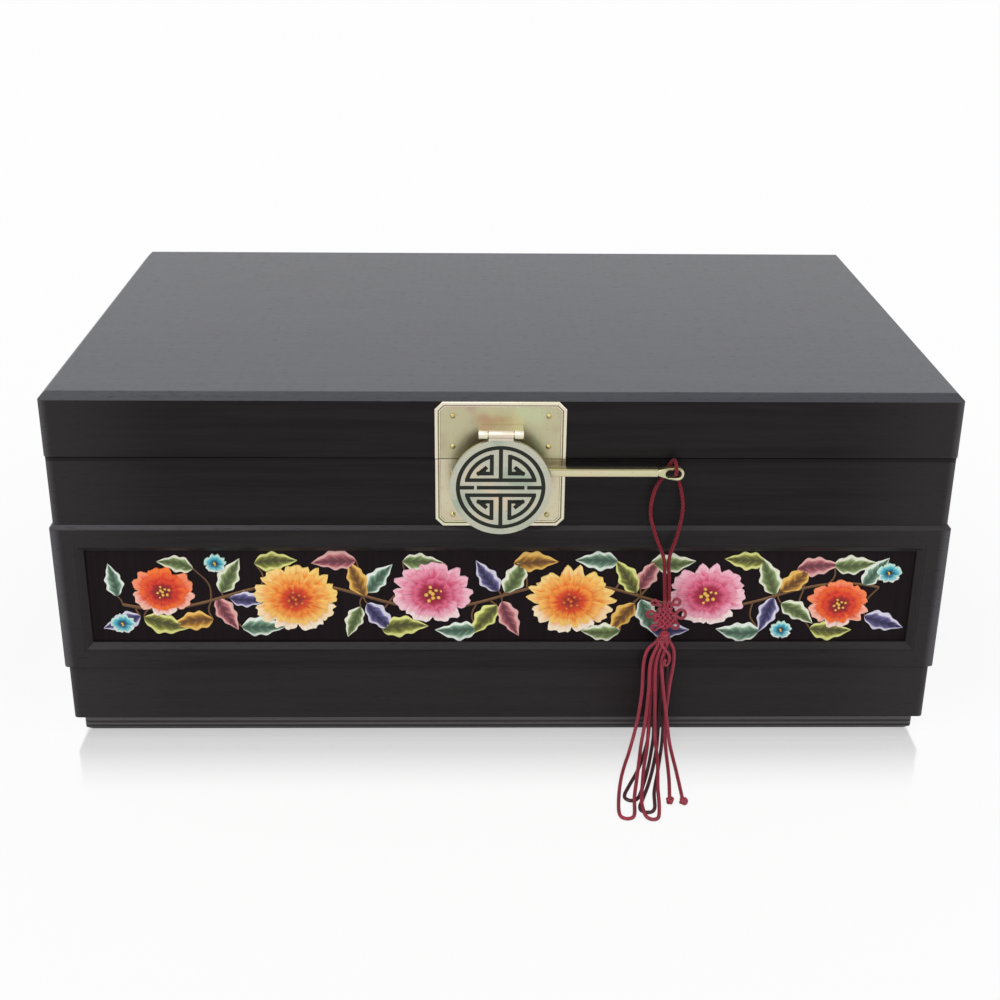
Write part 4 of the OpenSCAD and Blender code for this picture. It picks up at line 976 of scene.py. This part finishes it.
def embroidery():
    """A flowering vine in silk thread: stems, leaves over them, and blossoms on top."""
    rng = random.Random(7)
    stems = new_stitching()
    main = [(VIEW_W * u, VIEW_Z + vine(u)) for u in [0.46 * (2 * i / 60 - 1) for i in range(61)]]
    stem(stems, main, 0.7, 0.55)
    leaves = new_stitching()
    for x, z, length, degrees, kind in LEAVES:
        px, pz = VIEW_W * x, VIEW_Z + VIEW_H * z
        tip = {"ochre": "#f07a24", "rose": "#e0506a"}.get(kind)
        leaf(leaves, px, pz, VIEW_H * length, degrees, kind, rng, tip)
        foot = min(main, key=lambda p: hypot(p[0] - px, p[1] - pz))
        if hypot(foot[0] - px, foot[1] - pz) > 1.5:
            sway = (foot[0] + px) / 2 + 0.2 * (pz - foot[1]), (foot[1] + pz) / 2
            stem(stems, [foot, sway, (px, pz)], 0.42, 0.3)
    blossoms = new_stitching()
    for x, z, radius, petals, kind in FLOWERS:
        flower(blossoms, VIEW_W * x, VIEW_Z + VIEW_H * z, VIEW_H * radius, petals, kind, rng)
    for bm, name, node, slot in ((stems, "stem_stitches", "embroidered_stems", "stem_thread"),
                                 (leaves, "leaf_stitches", "embroidered_leaves", "leaf_thread"),
                                 (blossoms, "blossom_stitches", "embroidered_flowers", "flower_thread")):
        piece_from(name, bm, stitches, "case", [node], 55)


def stretched_silk():
    """The silk, drawn over the panel's face."""
    bm = bmesh.new()
    made = grid(bm, 60, 10, 0.5)
    for vert in made:
        vert.co = (vert.co.x * SILK_W, SILK_Y - 0.05, VIEW_Z + vert.co.y * SILK_H)
    drawn_out(bm, bm.faces, (0, 0.2, 0))
    piece = piece_from("panel_silk_cloth", bm, panel_silk, "case")


stretched_silk()
embroidery()


# Lining, mirror and back hinges

def velvet_boards():
    """The lining boards of the case, wrapped in velvet with rounded edges."""
    for side in ("front", "back", "left", "right"):
        board = soft_box(*span("liner_" + side), 1.2, 4)
        piece_from("velvet_" + side, board, lining_velvet, "case", ["liner_" + side], 60)


def floor_cushion():
    """A thin pad on the floor, crowned in the middle and drawn in at its edge."""
    low, high = span("floor_pad")
    size, edge_h, softness = high - low, 1.2, 3.5
    bm = bmesh.new()
    made = grid(bm, 48, 30, 0.5)
    for vert in made:
        u, v = vert.co.x + 0.5, vert.co.y + 0.5
        edge = min(u * size.x, (1 - u) * size.x, v * size.y, (1 - v) * size.y)
        rise = 1 - exp(-max(edge, 0) / softness)
        vert.co = (low.x + u * size.x, low.y + v * size.y, low.z + edge_h + (size.z - edge_h - 0.1) * rise)
    base = bmesh.ops.extrude_edge_only(bm, edges=[e for e in bm.edges if e.is_boundary])["geom"]
    for vert in points(base):
        vert.co.z = low.z
    capped(bm, base)
    piece = piece_from("floor_cushion", bm, lining_velvet, "case", ["floor_pad"], 60)


def lid_padding():
    """A padded velvet frame round the mirror."""
    low, high = span("lid_lining")
    gap, edge_h = span("lid_mirror")[0].x - low.x - 0.2, 1.0
    bm = bmesh.new()
    corners = ((low.x, low.y), (high.x, low.y), (high.x, high.y), (low.x, high.y))
    face = bm.faces.new([bm.verts.new((x, y, high.z)) for x, y in corners])
    face.normal_update()
    bmesh.ops.inset_region(bm, faces=[face], thickness=gap, use_even_offset=True, use_boundary=True)
    bmesh.ops.delete(bm, geom=[face], context="FACES")
    bmesh.ops.subdivide_edges(bm, edges=list(bm.edges), cuts=11, use_grid_fill=True)
    for vert in points(drawn_out(bm, bm.faces, (0, 0, 0))):
        outer = min(vert.co.x - low.x, high.x - vert.co.x, vert.co.y - low.y, high.y - vert.co.y)
        share = max(0.0, min(1.0, outer / gap))
        vert.co.z = high.z - edge_h - (high.z - low.z - edge_h) * sin(pi * share) ** 0.4
    piece = piece_from("lid_padding", bm, lining_velvet, "lid", ["lid_lining"], 60)


def mirror():
    """A mirror with a ground edge, face down in the lid."""
    low, high = span("lid_mirror")
    ground_w, ground_h = 7, 0.9
    bm = bmesh.new()
    boxed(bm, low, high)
    face = min(bm.faces, key=lambda f: f.calc_center_median().z)
    bmesh.ops.inset_region(bm, faces=[face], thickness=ground_w, use_even_offset=True)
    for vert in bm.verts:
        if vert not in face.verts and vert.co.z < (low.z + high.z) / 2:
            vert.co.z += ground_h
    piece_from("bevelled_mirror", bm, mirror_glass, "lid", ["lid_mirror"], 5)


# The hinges' middles, how far their screws stand from there, a screw's outline, half a slot and its depth
HINGE_X, SCREW_OUT, SLOT, SLOT_DEEP = 109, 12.667, 0.3, 0.5
SCREW = [(0, 0), (1.2, 0), (2.15, 0), (2.4, -0.14), (1.1, -0.9), (1.1, -3), (0, -3.4)]


def hinge_screws(name, node, body, face_y, z):
    """Countersunk screws with a slot across the head."""
    bm = bmesh.new()
    spun(bm, SCREW, Vector((0, 0, 0)), 24)
    for height in (-SLOT, SLOT):
        bmesh.ops.bisect_plane(bm, geom=[*bm.verts, *bm.edges, *bm.faces], dist=1e-5,
                               plane_co=(0, 0, height), plane_no=(0, 0, 1))
    slot = [f for f in bm.faces if abs(f.calc_center_median().z) < SLOT
            and all(abs(v.co.y) < 0.01 for v in f.verts)]
    drawn_out(bm, slot, (0, SLOT_DEEP, 0))
    first = [*bm.verts, *bm.edges, *bm.faces]
    for side in (-HINGE_X, HINGE_X):
        for x in (side - SCREW_OUT, side + SCREW_OUT):
            copy = bmesh.ops.duplicate(bm, geom=first)["geom"]
            place = Matrix.Translation((x, face_y, z)) @ Matrix.Rotation(pi, 4, "Z")
            bmesh.ops.transform(bm, matrix=place, verts=points(copy))
    bmesh.ops.delete(bm, geom=points(first), context="VERTS")
    piece_from(name, bm, hinge_metal, body, [node], 30)


velvet_boards()
floor_cushion()
lid_padding()
mirror()
hinge_screws("screws_case", "hinge_screws_case", "case", 112.3, 119.2)
hinge_screws("screws_lid", "hinge_screws_lid", "lid", 112.6, 134.6)
dress("hinge_leaves_case hinge_leaves_lid", hinge_metal)
dress("hinge_pins", hinge_metal, 0.15)


# Floor and light

# Half the width and depth of the plinth's foot, in metres, and the suns
FOOT_HALF = (0.1756, 0.1068)
SUNS = (("key", (-0.5, -0.8, 1.2), 0.95), ("fill", (0.9, -0.6, 0.9), 0.35))


def studio():
    """A white floor that mirrors the box faintly near its foot, a white room and two soft suns."""
    bm = bmesh.new()
    grid(bm, 1, 1, 20)
    mesh = bpy.data.meshes.new("floor")
    bm.to_mesh(mesh)
    bm.free()
    floor = placed("floor", mesh)
    finish = Finish("floor_white", {"Base Color": (0.9, 0.9, 0.9, 1), "Roughness": 0.6,
                                    "Specular IOR Level": 0.0})
    mesh.materials.append(finish.material)
    seen = finish.add("LightPath", {}, {}, "Is Camera Ray")
    wide, deep, _ = finish.parts(finish.place())
    away = (wide.size() - FOOT_HALF[0]).larger(deep.size() - FOOT_HALF[1])
    white = finish.add("Emission", {}, {"Color": (1, 1, 1, 1), "Strength": 1.0})
    mirror = finish.add("BsdfGlossy", {}, {"Color": (1, 1, 1, 1), "Roughness": 0.12})
    plain = Shade(finish, finish.shader.outputs[0])
    lit = finish.add("MixShader", {}, {0: seen * 0.86, 1: plain, 2: white})
    shown = finish.add("MixShader", {}, {0: seen * away.eased(-0.006, 0.05, 0.4, 0.0), 1: lit, 2: mirror})
    finish.tree.links.new(shown.socket, finish.tree.nodes["Material Output"].inputs["Surface"])

    room = Finish("room", {"Color": (1, 1, 1, 1)}, "Background", bpy.data.worlds)
    bpy.context.scene.world = room.material
    shown = room.add("LightPath", {}, {}, "Is Camera Ray")
    for kind in ("Is Glossy Ray", "Is Transmission Ray"):
        shown = shown.larger(room.add("LightPath", {}, {}, kind))
    room.feed("Strength", shown * 0.3 + 0.7)

    for name, place, power in SUNS:
        lamp = bpy.data.lights.new(name, "SUN")
        lamp.energy, lamp.angle = power, radians(45)
        holder = placed(name, lamp)
        holder.location = place
        holder.rotation_mode = "QUATERNION"
        holder.rotation_quaternion = (-Vector(place)).to_track_quat("-Z", "Y")


studio()
bpy.context.scene.view_settings.view_transform = "Standard"
